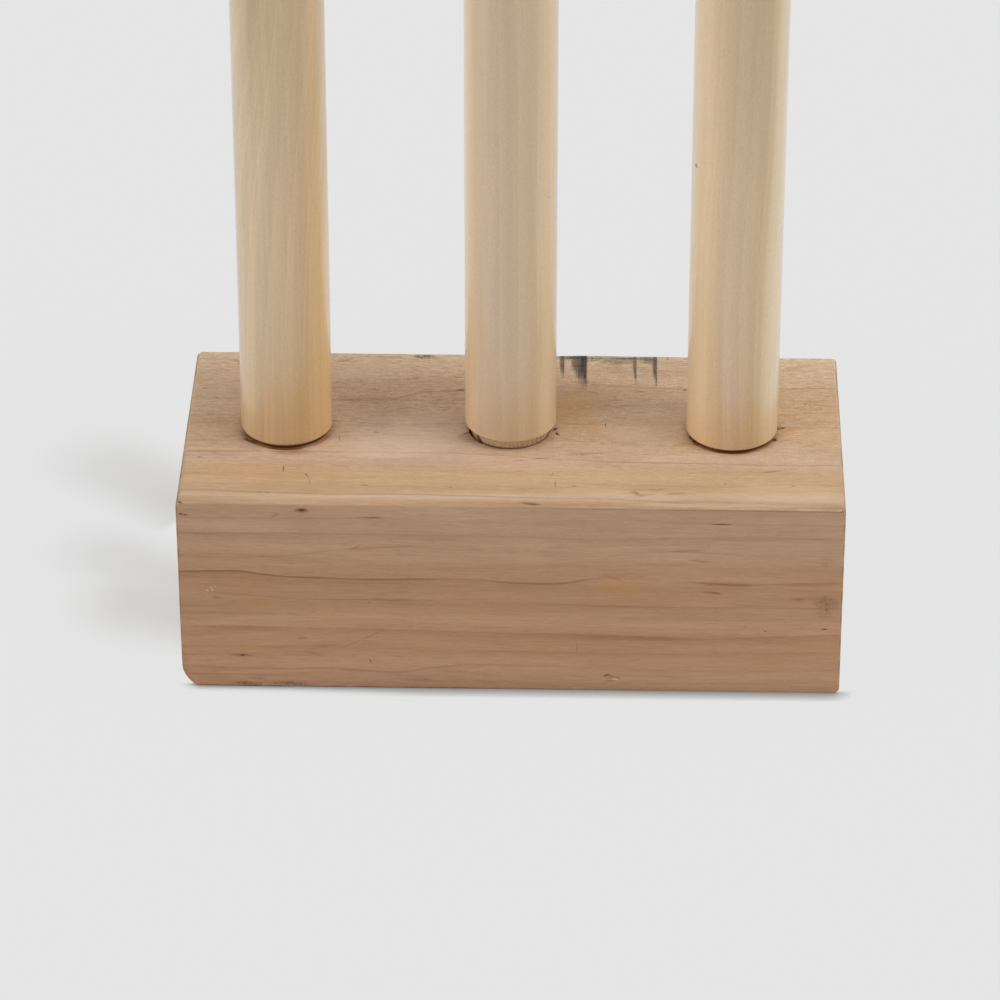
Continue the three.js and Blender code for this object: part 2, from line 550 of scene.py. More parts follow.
def blockSkin():
    outline = blockOutline()
    half = block["width"] / 2
    least, most = block["edgeWear"]
    middle = block["height"] / 2

    def worn(x, z, side):
        soft = between(least, most, 0.5 + 0.9 * wobble(x / 22, z / 22, 5 * side))
        return soft * min(1, block["footWear"] + z / block["footReach"])

    def ring(side, angle, y=None, inset=0.0):
        made = []
        for x, z, outX, outZ, share in outline:
            soft = worn(x, z, side)
            pull = block["inside"] + soft * (1 - math.cos(angle))
            place = side * (half - block["inside"] - soft * (1 - math.sin(angle))) if y is None else y
            pull += share * block["cornerWear"] * max(0, 0.35 + wobble(place / 9, x / 40, z / 30))
            x, z = x - outX * pull, z - outZ * pull
            x *= 1 - inset / half
            z = middle + (z - middle) * (1 - inset / middle)
            made.append((x, place, z))
        return made

    bend = [math.radians(18 * step) for step in range(6)]
    rings = [ring(-1, bend[-1], None, block["border"])]
    rings += [ring(-1, angle) for angle in reversed(bend)]
    margin = block["rowMargin"]
    middlePart = block["width"] - 2 * margin
    count = round(middlePart / block["row"])
    rings += [ring(0, 0, -half + margin + middlePart * step / count) for step in range(count + 1)]
    rings += [ring(1, angle) for angle in bend]
    rings.append(ring(1, bend[-1], None, block["border"]))
    corners, faces = skin(rings)
    return corners, [tuple(reversed(face)) for face in faces]


# The drill for a hole, opened out unevenly where its rim is worn
def holeTool(side):
    x = stumpX(side)
    sides = block["holeSides"]
    radius = block["holeDiameter"] / 2
    top = block["height"]
    floor = top - block["holeDepth"]
    least, most = block["rimWear"][side]
    arc = [math.radians(15 * step) for step in range(6)]
    rings = [[] for _ in range(len(arc) + 4)]
    for step in range(sides):
        angle = 2 * math.pi * step / sides
        acrossX, acrossY = math.cos(angle), math.sin(angle)
        worn = between(least, most, 0.4 + 1.2 * wobble(acrossX * 2.2 + x, acrossY * 2.2, 3))
        places = [(radius * 0.02, floor), (radius, floor)]
        places += [
            (radius + worn - worn * math.cos(lean), top - worn + worn * math.sin(lean)) for lean in arc
        ]
        past = radius + worn + 0.15
        places += [(past, top + 0.3), (past, top + 2)]
        for ring, (reach, height) in zip(rings, places):
            ring.append((x + reach * acrossX, reach * acrossY, height))
    return skin(rings)


# An irregular lump, which leaves a broken place where it is cut away
def lump(centre, sizes, seed):
    build = bmesh.new()
    bmesh.ops.create_icosphere(build, subdivisions=2, radius=1)
    corners = []
    for corner in build.verts:
        direction = corner.co
        reach = 1 + 0.45 * wobble(direction.x * 1.3 + seed, direction.y * 1.3, direction.z * 1.3 + 2 * seed)
        corners.append(tuple(centre[axis] + direction[axis] * reach * sizes[axis] / 2 for axis in range(3)))
    faces = [tuple(corner.index for corner in face.verts) for face in build.faces]
    build.free()
    return corners, faces


# Several closed skins as one piece, to cut with
def joinedTool(name, parts):
    corners, faces = [], []
    for partCorners, partFaces in parts:
        start = len(corners)
        corners += partCorners
        faces += [tuple(start + index for index in face) for face in partFaces]
    return makePiece(name, corners, faces)


def makeBlock():
    piece = makePiece("standBlock", *blockSkin())
    carve(piece, joinedTool("drills", [holeTool(side) for side in (-1, 0, 1)]))
    chips = []
    for seed, (px, py, face, *sizes) in enumerate(block["chips"].values()):
        place = onTop(px, py) if face == "top" else onFront(px, py)
        chips.append(lump(place, sizes, 7.3 * seed))
    carve(piece, joinedTool("chips", chips), True)
    smoothOver(piece, 30)
    return piece


# Colours and marks of the block's wood; the places are pixels of the photograph
blockWood = {
    "body": paint(190, 157, 124),        # on the back, the ends and the underside
    "ringLine": paint(112, 70, 44),
    "rosy": paint(172, 112, 78),
    "orange": paint(192, 138, 72),
    "pale": paint(228, 200, 170),
    # painted shade for the stumps' shadows and the foot, also used for dirty smudges
    "shadeAndSmudge": paint(140, 108, 84),
    "dull": paint(176, 166, 156),
    "fleck": paint(72, 36, 16),
    "stain": paint(38, 42, 48),
    # painted shade along the foot and in the mouths of the holes
    "footAndHoleShade": paint(66, 36, 20),
    # painted shade under the outer stumps' shoulders: inner and outer colour
    "shoulderShadeInner": paint(122, 74, 26),       # under the shoulders, where little light comes
    "shoulderShadeOuter": paint(92, 56, 26),
    "halo": paint(140, 84, 50),
    "edge": paint(212, 182, 146),
    "heart": (40.0, -95.0),      # y and z of the tree's middle
    "ringWidth": 9.0,
    "roughness": 0.62,
    "lineWidth": 0.85,           # of all growth lines, as a share of their own width
    # bands of colour along the grain: pixel y at the picture's middle, colour
    "bands": {
        # the top's rows towards the back are lighter: partly the wood, partly painted light against the
        # stumps' shade
        "top": (
            (357, (221, 193, 161)), (372, (213, 181, 150)), (392, (206, 173, 141)), (412, (205, 172, 140)),
            (428, (199, 166, 133)), (440, (197, 165, 135)), (454, (199, 168, 140)), (461, (198, 166, 143)),
            (468, (196, 163, 130)), (482, (196, 162, 126)), (488, (190, 157, 123)), (494, (198, 168, 138)),
            (498, (201, 171, 143)), (502, (183, 149, 118)), (506, (177, 144, 114)),
        ),
        "front": (
            (512, (183, 149, 121)), (529, (186, 151, 123)), (538, (182, 147, 119)), (547, (187, 152, 122)),
            (563, (184, 147, 116)), (578, (179, 139, 108)), (593, (179, 138, 105)), (602, (176, 136, 104)),
            (619, (184, 144, 111)), (629, (185, 144, 112)), (634, (180, 139, 106)), (650, (181, 139, 106)),
            (661, (185, 145, 113)), (671, (184, 144, 112)), (684, (181, 142, 112)),
        ),
    },
    # growth lines: face, half width in mm, strength, places (pixel x, pixel y, strength along it)
    "growthLines": {
        "frontUpper": ("front", 0.7, 0.42, (
            (176, 532.5, 0.8), (283, 533.2, 1), (400, 535, 0.9), (520, 537, 0.6), (600, 540, 0.8),
            (690, 538, 0.9), (846, 539.6, 0.8))),
        "frontMain": ("front", 0.78, 1.0, (
            (178, 571.8, 0.9), (211, 571, 1), (240, 571, 1), (255, 573.2, 1), (281, 576, 0.9), (304, 577, 1),
            (337, 578, 0.8), (376, 579.2, 1), (428, 578.8, 0.7), (470, 579.6, 0.35), (516, 583, 0.8),
            (560, 583.4, 0.8), (596, 578.5, 0.35), (624, 575, 0.2), (660, 575, 0))),
        "frontRight": ("front", 0.75, 0.9, (
            (670, 580, 0), (694, 582.4, 0.35), (712, 583.8, 0.9), (735, 585, 1), (756, 585, 0.5),
            (790, 584.5, 0.45), (846, 583.3, 0.45))),
        "frontMiddle": ("front", 0.8, 0.55, (
            (206, 592, 0), (228, 593.3, 0.6), (297, 598.3, 0.6), (374, 599.5, 1), (400, 600.5, 0.6),
            (450, 601, 0.2), (520, 603, 0.3), (600, 606.6, 0.6), (700, 607.5, 0.6), (846, 609, 0.5))),
        "frontBand": ("front", 1.3, 0.28, (
            (182, 612.7, 1), (240, 613, 1), (290, 614, 0.8), (340, 615, 0), (520, 616, 0), (640, 619, 0.6),
            (760, 621, 0.8), (846, 621, 0.6))),
        "frontZone": ("front", 0.7, 0.5, (
            (182, 624.9, 0.7), (290, 627.5, 0.6), (400, 629.9, 0.7), (500, 633, 0.7), (565, 635, 1),
            (620, 636.5, 1), (711, 639.3, 0.7), (780, 637, 0.7), (846, 635.3, 0.8))),
        "frontLow": ("front", 0.6, 0.4, (
            (182, 645.1, 0.9), (260, 645.5, 0.8), (335, 646.2, 0.7), (420, 650.7, 0.4), (533, 651.5, 0.9),
            (640, 655, 0.3), (760, 653, 0.6), (846, 652, 0.4))),
        "frontLower": ("front", 0.9, 0.42, (
            (184, 665.8, 0.8), (275, 668.6, 0.8), (333, 668.4, 1), (400, 672.4, 0.9), (435, 668, 0.9),
            (470, 665.5, 0.8), (560, 667, 0.2), (700, 671, 0.5), (846, 670, 0.5))),
        "frontFoot": ("front", 0.7, 0.32, (
            (188, 673.6, 1), (275, 675.2, 0.8), (330, 678, 0.2), (560, 683, 0.4), (720, 684, 0.7),
            (846, 682, 0.5))),
        "frontCurl": ("front", 0.8, 0.3, (
            (176, 554.8, 0.9), (275, 556.7, 0.8), (350, 549, 0.9), (400, 546.7, 0.8), (470, 551, 0.4),
            (600, 556, 0.3), (668, 551.5, 0.7), (705, 552.4, 0.9), (760, 556, 0.5), (846, 557, 0.3))),
        "frontTop": ("front", 0.8, 0.3, (
            (176, 517, 0.7), (300, 518.6, 0.7), (371, 518, 1), (385, 518, 0.8), (440, 520, 0.1),
            (600, 524, 0.2), (733, 524.6, 0.7), (846, 526, 0.3))),
        "frontEdge": ("front", 0.5, 0.8, (
            (176, 504.2, 0), (520, 508.2, 0), (600, 509.3, 0.9), (700, 510.4, 1), (846, 512.1, 1))),
        "topBack": ("top", 1.1, 0.5, (
            (196, 397.5, 0.9), (238, 398.5, 0.9), (333, 399.6, 1), (400, 400, 0.8), (467, 400, 0.5),
            (560, 387, 0.4), (690, 390, 0.4), (780, 389, 1), (842, 388.6, 1))),
        "topBackWavy": ("top", 1.0, 0.45, (
            (340, 402, 0), (384, 401, 0.5), (408, 395.6, 1), (430, 392, 1), (453, 391, 1), (466, 390, 0.8),
            (480, 389, 0), (560, 381, 0), (590, 384, 0.6), (690, 389, 0.6), (700, 389, 0))),
        "topMiddle": ("top", 1.0, 0.42, (
            (190, 415, 0.8), (240, 415.5, 0.7), (337, 421, 0.8), (400, 424, 0.9), (467, 423.7, 0.8),
            (560, 424, 0.7), (687, 424.4, 0.7), (780, 414.5, 0.8), (844, 413, 0.8))),
        "topMiddleThin": ("top", 0.8, 0.3, (
            (190, 406, 0.5), (330, 410, 0.4), (560, 416, 0.7), (590, 407.5, 0.8), (687, 408, 0.8),
            (780, 402, 0.6), (842, 401, 0.7))),
        "topStumps": ("top", 0.9, 0.5, (
            (182, 450.5, 0.9), (290, 451.5, 0.9), (400, 452.6, 0.9), (467, 453.8, 0.8), (600, 461.6, 0.9),
            (686, 463.3, 1), (780, 465.6, 0.9), (846, 465.6, 0.8))),
        "topFront": ("top", 1.1, 0.44, (
            (180, 489.4, 0.9), (260, 491.8, 1), (330, 493.8, 0.9), (400, 494.4, 1), (470, 496, 1),
            (540, 498.2, 0.9), (620, 499.6, 0.7), (700, 504.4, 0.8), (846, 508.6, 0.6))),
        "topFrontThin": ("top", 0.8, 0.23, (
            (180, 472, 0.5), (300, 478, 0.5), (420, 476, 0.6), (560, 483, 0.4), (700, 487, 0.6),
            (812, 484.7, 1), (846, 486.3, 1))),
        "topRightEnd": ("top", 0.9, 0.38, (
            (186, 433, 0.4), (240, 436, 0.3), (590, 440, 0.2), (690, 430, 0.2), (794, 428, 1),
            (845, 428.4, 1))),
        "topEdgeBack": ("top", 0.9, 0.3, (
            (197, 358, 0.9), (238, 360, 0.9), (333, 364, 0.8), (356, 357, 0.8), (458, 366, 0.5),
            (600, 371, 0.6), (690, 372, 0.6), (780, 371, 0.7), (838, 370, 0.7))),
        "topBackThin": ("top", 0.8, 0.28, (
            (195, 378, 0.7), (238, 380, 0.6), (333, 383, 0.7), (460, 377, 0.7), (600, 395, 0.4),
            (690, 399, 0.5), (780, 380, 0.6), (842, 379, 0.6))),
    },
    # growth lines that fade out slowly on their lower side: how far in mm, and how strongly
    "fading": {
        "frontUpper": (2.4, 0.14),
        "frontMain": (4.5, 0.26),
        "frontRight": (4.0, 0.24),
        "frontZone": (3.6, 0.3),
        "frontLow": (2.6, 0.25),
    },
    # marks from one pixel to another: face, x, y, x, y, width in pixels, strength
    "flecks": {
        "knot": ("front", 299.2, 510.2, 303.6, 510.4, 2.8, 0.85),
        "knotTail": ("front", 292, 510.8, 311, 510.4, 2.0, 0.35),
        "leftDash": ("front", 177.5, 513.8, 182, 514.3, 1.6, 0.75),
        "leftDashEnd": ("front", 183, 514.7, 187, 514.9, 1.4, 0.6),
        "redFleckHeart": ("front", 240, 654.9, 245.5, 655, 1.9, 0.7),
        "redFleckHeartRight": ("front", 712, 592.8, 719, 593.2, 1.4, 0.25),
        "redDashHeart": ("front", 798, 599.4, 802, 599.6, 1.2, 0.2),
        "upperDashTop": ("front", 273.5, 514.2, 279, 514.6, 1.1, 0.4),
        "upperDash": ("front", 270.5, 515.9, 276.5, 516.5, 1.2, 0.5),
        "faintDash": ("front", 304, 518, 312, 518.2, 1.2, 0.25),
        "upperMiddleDash": ("front", 367, 518, 381, 517.9, 1.5, 0.5),
        "rightDash": ("front", 709, 524.4, 734, 524.7, 1.4, 0.75),
        "edgeDash": ("top", 521, 502.6, 541, 505, 2.4, 0.7),
        "blackDot": ("front", 368.9, 602.5, 370.3, 602.5, 1.5, 0.5),
        "lowDot": ("front", 313.2, 611.6, 314.8, 611.6, 1.3, 0.4),
        "rightDot": ("front", 764.6, 631.3, 766.2, 631.3, 1.6, 0.6),
        "rightDotLow": ("front", 745, 627, 746.8, 627, 1.6, 0.4),
        "darkFleckRight": ("front", 820.5, 629.4, 828, 629.4, 1.6, 0.8),
        "spotA": ("front", 212, 597, 222, 597.4, 1.6, 0.4),
        "curvedScratch": ("front", 369.4, 658.6, 371.6, 664.3, 1.3, 0.75),
        "diagonalScratchA": ("front", 338.6, 648.5, 362, 640, 1.0, 0.28),
        "diagonalScratchB": ("front", 358, 641, 383, 630.6, 1.0, 0.34),
        "uprightScratch": ("front", 576.8, 635, 576.8, 655, 1.0, 0.3),
        "footChipShade": ("front", 603.6, 676.2, 609.4, 674.6, 3.0, 0.6),
        "footChipEdge": ("front", 608.4, 674.4, 620.6, 680.0, 1.1, 0.5),
        "footChipLine": ("front", 604, 680.6, 620, 680.8, 1.0, 0.4),
        "scratchA": ("top", 283.4, 464.6, 283.0, 472.6, 1.3, 0.8),
        "scratchHook": ("top", 303.6, 472.4, 309.4, 477.4, 1.1, 0.6),
        "scratchHookEnd": ("top", 309.2, 477, 309.8, 486, 1.0, 0.35),
        "scratchB": ("top", 555.2, 479.6, 555, 488.8, 1.1, 0.7),
        "scratchBFaint": ("top", 552.4, 471.6, 551.8, 476.6, 1.0, 0.4),
        "scratchC": ("top", 605.7, 422.4, 605.4, 428.2, 1.1, 0.85),
        "slantScratch": ("top", 338.8, 436, 341.2, 442, 1.2, 0.55),
        "backFleck": ("top", 202.4, 388, 207.6, 388, 1.4, 0.45),
        "leftFleck": ("top", 197.4, 457, 202, 457, 1.3, 0.5),
        "dotLine": ("top", 213.6, 396.8, 217.4, 397.6, 1.4, 0.4),
        "dashA": ("top", 374, 431.9, 380, 432.2, 1.2, 0.5),
        "dashB": ("top", 360, 484.9, 368.6, 485.3, 1.3, 0.45),
        "speckA": ("top", 257, 491.6, 261.6, 492.3, 1.1, 0.5),
        "speckB": ("top", 265.6, 492.2, 270, 492.9, 1.1, 0.45),
        "slantDash": ("top", 448.4, 488.4, 452.4, 486.4, 1.1, 0.4),
        "smallDash": ("top", 572, 486, 576.4, 486.2, 1.3, 0.5),
        "darkDash": ("top", 456, 390, 465, 390, 1.5, 0.8),
        "dotA": ("top", 614.2, 398, 615.8, 398, 1.6, 0.42),
        "dotB": ("top", 656.4, 405, 657.6, 405, 1.5, 0.32),
        "dotC": ("top", 683.8, 390.2, 685.4, 390.2, 1.6, 0.8),
        "dotD": ("top", 667.7, 357.2, 667.9, 359.8, 1.6, 0.6),
        "dotE": ("top", 804.4, 404, 805.6, 404, 1.5, 0.45),
        "dotF": ("top", 724.4, 484, 725.6, 484, 1.4, 0.4),
        "dotG": ("top", 792.4, 486, 793.8, 486, 1.4, 0.4),
        "longFleck": ("top", 760, 472.6, 785, 470.4, 1.1, 0.45),
        "lensRim": ("top", 664, 494.4, 690, 492.4, 1.1, 0.25),
        "rimCrack": ("top", 463.0, 434.6, 471.6, 430.8, 1.5, 0.75),
        "rimCrackFork": ("top", 467.0, 427.6, 470.0, 431.6, 1.2, 0.5),
        "rimMarkRight": ("top", 551.4, 430.8, 557.4, 427.6, 1.7, 0.95),
        "rimMarkRightB": ("top", 555.0, 431.6, 560.0, 435.4, 1.4, 0.85),
        "rimMarkRightC": ("top", 543.6, 437.8, 549.0, 433.8, 1.5, 0.6),
        "rimLeftDark": ("top", 243, 437.6, 255, 443.2, 2.4, 0.7),
        "rimLeftCore": ("top", 249.6, 440.2, 256.4, 443.8, 2.6, 0.95),
        "rimRightSplit": ("top", 688, 435.4, 700, 443.6, 1.6, 0.8),
        "rimRightSplitLow": ("top", 693.4, 443.8, 699.6, 444.8, 2.0, 0.9),
        "rimRightNotch": ("top", 776.4, 429.9, 784.4, 427.4, 1.8, 0.9),
        "rimRightNotchLow": ("top", 770.6, 441.2, 776.4, 438.4, 2.0, 0.9),
        "cornerChipShade": ("top", 176.6, 500.6, 181, 503, 2.2, 0.8),
        "cornerMarkRight": ("front", 841.4, 508.6, 844.8, 515.6, 1.3, 0.55),
    },
    # painted shade: the stumps' soft shadows on the top and the shade at the foot and in the foot chip; the
    # smudges on the front are dirt
    "shadeAndSmudgeMarks": {
        "leftEnd": ("top", 188, 445, 240, 447, 24, 0.42),
        "middleLeft": ("top", 338, 411, 394, 412, 27, 0.24),
        "middleLeftLow": ("top", 336, 447, 400, 448, 9, 0.14),
        "middleLeftUp": ("top", 338, 399, 398, 401, 10, 0.36),
        "leftStumpRight": ("top", 330, 437, 348, 428, 12, 0.3),
        "frontRightEdge": ("top", 668, 500, 742, 503, 9, 0.22),
        "leftFoot": ("front", 184, 672, 236, 680, 9, 0.45),
        "leftFootEdge": ("front", 183, 650, 186, 668, 8, 0.3),
        "leftFootCorner": ("front", 186, 668, 189, 683, 9, 0.5),
        "lowSmudge": ("front", 380, 674, 436, 680, 7, 0.30),
        "lowSmudgeLeft": ("front", 284, 655, 330, 652, 6, 0.22),
        "middleSmudge": ("front", 376, 600, 420, 601, 5, 0.35),
        "middleSmudgeUp": ("front", 388, 592, 412, 592, 3, 0.28),
        "rightSmudge": ("front", 724, 606, 800, 604, 5, 0.28),
        "upperSmudge": ("front", 384, 547, 432, 545, 4, 0.22),
        "lowSmudgeMiddle": ("front", 434, 668, 470, 672, 5, 0.30),
        "frontBorder": ("top", 186, 502, 640, 507, 5, 0.25),
        "rightBand": ("front", 600, 617, 800, 619, 10, 0.12),
        "rightBandHigh": ("front", 600, 553, 740, 555, 12, 0.1),
        "backBandRight": ("top", 604, 366, 690, 368, 22, 0.28),
        "footChipFloor": ("front", 606.5, 678.4, 612, 678.8, 3.4, 0.6),
    },
    "paleMarks": {
        "worn": ("top", 345, 450, 440, 444, 22, 0.3),
        "wornFront": ("top", 440, 462, 620, 468, 18, 0.18),
        "wornCorner": ("top", 796, 494, 838, 496, 9, 0.4),
        "wornRight": ("top", 560, 490, 640, 493, 9, 0.24),
        "frontRim": ("top", 600, 504.0, 842, 507.4, 4.6, 0.45),
        "footChipPale": ("front", 612.6, 678.9, 618.6, 680.0, 2.0, 0.5),
        "paleSpeck": ("front", 206.4, 590.2, 208.2, 590.4, 1.5, 0.8),
        "paleSpeckB": ("front", 209.6, 587.2, 211.2, 587.4, 1.4, 0.8),
        "paleSpeckC": ("front", 211.8, 589.6, 213.0, 589.4, 1.5, 0.7),
        "paleSpeckD": ("front", 213.6, 586.4, 215.0, 586.4, 1.3, 0.7),
        # painted light: the next four lighten the back of the top where the stumps' shadows fall
        "paintedLightBackLeft": ("top", 200, 390, 240, 392, 52, 0.3),
        "paintedLightBackMiddleLeft": ("top", 332, 368, 392, 371, 20, 0.34),
        "paintedLightBackRight": ("top", 652, 414, 690, 416, 42, 0.36),
        "paintedLightBackRightLow": ("top", 612, 428, 690, 432, 26, 0.3),
        "dullPale": ("top", 400, 424, 458, 428, 26, 0.2),
        "edgeLeftPale": ("top", 178, 498.9, 430, 502.5, 6.4, 0.4),
        "frontRightPale": ("top", 730, 492, 850, 494, 20, 0.3),
    },
    "rosyMarks": {
        "knotHalo": ("front", 295, 510.4, 308, 510.6, 5.4, 0.8),
        "leftDashHalo": ("front", 176, 514, 188, 514.8, 3.4, 0.6),
        "upperMiddleHalo": ("front", 353, 517.7, 387, 517.4, 2.4, 0.5),
        "mainHalo": ("front", 176, 571.8, 262, 573, 3.6, 0.5),
        "rightLineHalo": ("front", 688, 583, 770, 586, 4.4, 0.5),
        "rightLineHaloEnd": ("front", 770, 585, 846, 585, 4.0, 0.4),
        "zoneHalo": ("front", 560, 636.6, 716, 640, 5.0, 0.5),
        "zoneHaloLeft": ("front", 182, 626.6, 300, 629, 4.4, 0.4),
        "lowHaloLeft": ("front", 184, 668, 250, 670, 4.4, 0.35),
        "frontEdgeTint": ("top", 190, 499.5, 420, 502, 6, 0.3),
        "redFleck": ("front", 228, 654.8, 257, 655.2, 3.4, 0.75),
        "redFleckCore": ("front", 235, 654.8, 250, 655, 2.6, 0.7),
        "redFleckRight": ("front", 700, 591.6, 724, 594, 3.2, 0.7),
        "redDashRight": ("front", 790, 599.2, 808, 599.8, 3.0, 0.6),
        "smearA": ("front", 370, 598.4, 386, 598.8, 2.6, 0.45),
        "smearB": ("front", 392, 591.4, 410, 591.8, 2.2, 0.35),
        "smearC": ("front", 393, 599.2, 412, 599.6, 2.4, 0.45),
        "rimLeftHalo": ("top", 238, 437, 262, 447, 7, 0.4),
        "rimLeftFront": ("top", 272, 452.4, 312, 451.8, 6, 0.6),
        "redSpot": ("front", 297, 637.6, 308, 638, 2.6, 0.55),
        "redWedge": ("front", 300, 651, 328, 656, 3.4, 0.4),
        "brownSpotsRight": ("front", 687, 560.4, 713, 561.8, 3.0, 0.55),
        "brownArcRight": ("front", 667, 551.6, 706, 550.6, 2.6, 0.45),
        "brownCurlLeft": ("front", 348, 551, 362, 544.6, 2.8, 0.4),
        "brownCurlTail": ("front", 346, 549.8, 402, 546.8, 2.2, 0.35),
        "lens": ("top", 666, 493.6, 688, 493.4, 2.6, 0.3),
        "rimTintMiddle": ("top", 463.0, 437, 480.0, 439, 10, 0.5),
        "soften": ("front", 600, 575, 626, 581, 4.2, 0.35),
        "softenRight": ("front", 790, 598, 840, 600, 4.0, 0.3),
    },
    "orangeMarks": {
        "tintLeft": ("front", 242, 603, 264, 604, 13, 0.26),
        "tintLeftUp": ("front", 238, 588, 268, 589, 8, 0.2),
        "tintLow": ("front", 236, 645.5, 268, 645.5, 6, 0.25),
        "tintRightLow": ("front", 756, 668, 786, 664, 11, 0.22),
        "tintRight": ("front", 592, 584, 650, 590, 12, 0.3),
        "rustFront": ("top", 556, 428, 600, 424, 12, 0.3),
        "rustMiddle": ("top", 574, 388, 588, 396, 15, 0.36),
        "rustMiddleLow": ("top", 558, 414, 576, 404, 26, 0.58),
        "rustMiddleWide": ("top", 556, 412, 592, 398, 32, 0.38),
        "rustRight": ("top", 780, 371, 814, 363.6, 5, 0.4),
        "rustRightLow": ("top", 778, 416, 842, 413.2, 5, 0.28),
        "rustRim": ("top", 779, 431, 799, 427.6, 5.4, 0.6),
        "rustRimWide": ("top", 779, 433, 797, 428, 9, 0.3),
        "rustRimLow": ("top", 674, 446, 692, 443, 4.4, 0.5),
        "rustLeft": ("top", 190, 466, 300, 472, 15, 0.16),
        "rustEnd": ("top", 790, 440, 838, 452, 12, 0.16),
        "rustRightWide": ("top", 780, 408, 842, 406, 44, 0.13),
        "rustRightEdge": ("top", 781, 366, 785, 436, 7, 0.25),
    },
    "greyMarks": {
        "greyPatch": ("top", 566, 453.8, 604, 453.2, 2.4, 0.35),
        "greyHair": ("top", 505, 462.2, 566, 455.6, 1.0, 0.5),
        "greyHairEnd": ("top", 560, 456.2, 606, 452.6, 1.0, 0.6),
        "scribble": ("top", 630.5, 491, 644, 497, 3.4, 0.45),
        "scribbleCross": ("top", 634, 488.6, 640, 498, 1.6, 0.55),
        "scribbleBar": ("top", 629, 496.2, 654, 494.6, 1.5, 0.45),
        "scribbleTail": ("top", 644, 489.6, 671, 489, 1.6, 0.3),
        "sideSmudge": ("front", 819, 603, 832, 604, 15, 0.32),
        "sideSmudgeCore": ("front", 826.5, 599, 828, 614, 5.0, 0.5),
        "sideSmudgeLow": ("front", 819, 614, 831, 616, 9, 0.24),
        "sideSmudgeUp": ("front", 822, 563, 833, 563, 9, 0.16),
        "backDirt": ("top", 412, 356.4, 434, 356.6, 3.6, 1.0),
        "backDirtTail": ("top", 418, 358.8, 442, 357.4, 2.0, 0.5),
        "curlBack": ("top", 337, 361.4, 354, 359.4, 2.2, 0.4),
        "footDirtA": ("front", 233, 683, 262, 684, 5.4, 0.6),
        "footDirtB": ("front", 270, 682, 312, 684.4, 4.4, 0.55),
        "hatchA": ("front", 314, 645, 334, 645, 5.0, 0.14),
        "hatchB": ("front", 358, 642, 382, 643, 6.0, 0.1),
        "backGrain": ("top", 574, 359.0, 601, 360.4, 4.6, 0.6),
        "backGrainMiddle": ("top", 598, 361.4, 626, 363.4, 5.6, 0.45),
        "backGrainRight": ("top", 640, 360.8, 657, 361.4, 5.4, 0.55),
        "backGrainThin": ("top", 540, 357.6, 574, 358.2, 3.0, 0.5),
        "backEdgeLine": ("top", 556, 357.6, 612, 358.4, 2.4, 0.9),
        "backEdgeLineRight": ("top", 606, 358.4, 664, 359.0, 2.2, 0.8),
        "footDirtC": ("front", 246, 677.6, 268, 679, 2.4, 0.3),
        "rimShadeLeft": ("top", 240, 446, 262, 450, 5, 0.25),
    },
    "dullMarks": {
        "dullLeft": ("top", 368, 432, 456, 436, 54, 0.3),
    },
    # dark stains running in from the back edge: pixel left, right, lower end, strength
    "stains": {
        "first": (558.6, 564.2, 378.5, 0.85),
        "second": (572.6, 586.6, 389.0, 1.0),
        "secondWide": (569.8, 577.5, 379.0, 0.8),
        "third": (632.2, 636.4, 385.0, 0.8),
        "fourth": (651.6, 656.8, 388.5, 0.85),
        "smudge": (586.0, 634.0, 365.0, 0.4),
        "smudgeRight": (636.0, 654.0, 364.0, 0.5),
        "smudgeLeft": (557.0, 575.0, 363.0, 0.5),
    },
}

# One flat map holds the front, with z on it, and the top, with y and this shelf added to it
topShelf = 400.0
mapHeight = 500.0
offMap = 900.0       # a level past the map, where no line or mark is
stainRow = 365       # a pixel row through the stains at the back edge


# A pixel's place on the map of the block's faces
def onMap(face, px, py):
    if face == "top":
        place = onTop(px, py)
        return Vector((place.x, place.y + topShelf))
    place = onFront(px, py)
    return Vector((place.x, place.z))


# A long soft-edged mark from one pixel to another; the third part of spot is always 1
def markOn(finish, spot, face, x0, y0, x1, y1, wide, strength):
    start, end = onMap(face, x0, y0), onMap(face, x1, y1)
    along = end - start
    angle = math.atan2(along.y, along.x)
    cosine, sine = math.cos(angle), math.sin(angle)
    middleX, middleY = (x0 + x1) / 2, (y0 + y1) / 2
    pixels = math.hypot(x1 - x0, y1 - y0)
    asideX = middleX - (y1 - y0) / pixels * wide / 2
    asideY = middleY + (x1 - x0) / pixels * wide / 2
    across = (onMap(face, asideX, asideY) - onMap(face, middleX, middleY)).length
    reach, half = along.length / 2 + across, across * 1.25
    centre = (start + end) / 2
    offsetU = -(centre.x * cosine + centre.y * sine) / reach
    offsetV = (centre.x * sine - centre.y * cosine) / half
    dot = {"operation": "DOT_PRODUCT"}
    u = finish.node("VectorMath", dot, {0: spot, 1: (cosine / reach, sine / reach, offsetU)}, "Value")
    v = finish.node("VectorMath", dot, {0: spot, 1: (-sine / half, cosine / half, offsetV)}, "Value")
    away = finish.node("Math", {"operation": "MULTIPLY_ADD"}, {0: u, 1: u, 2: v * v})
    return finish.ease(away, 0.06, 1.0, strength, 0.0)


def markMask(finish, spot, kind):
    return finish.strongest(markOn(finish, spot, *mark) for mark in blockWood[kind].values())


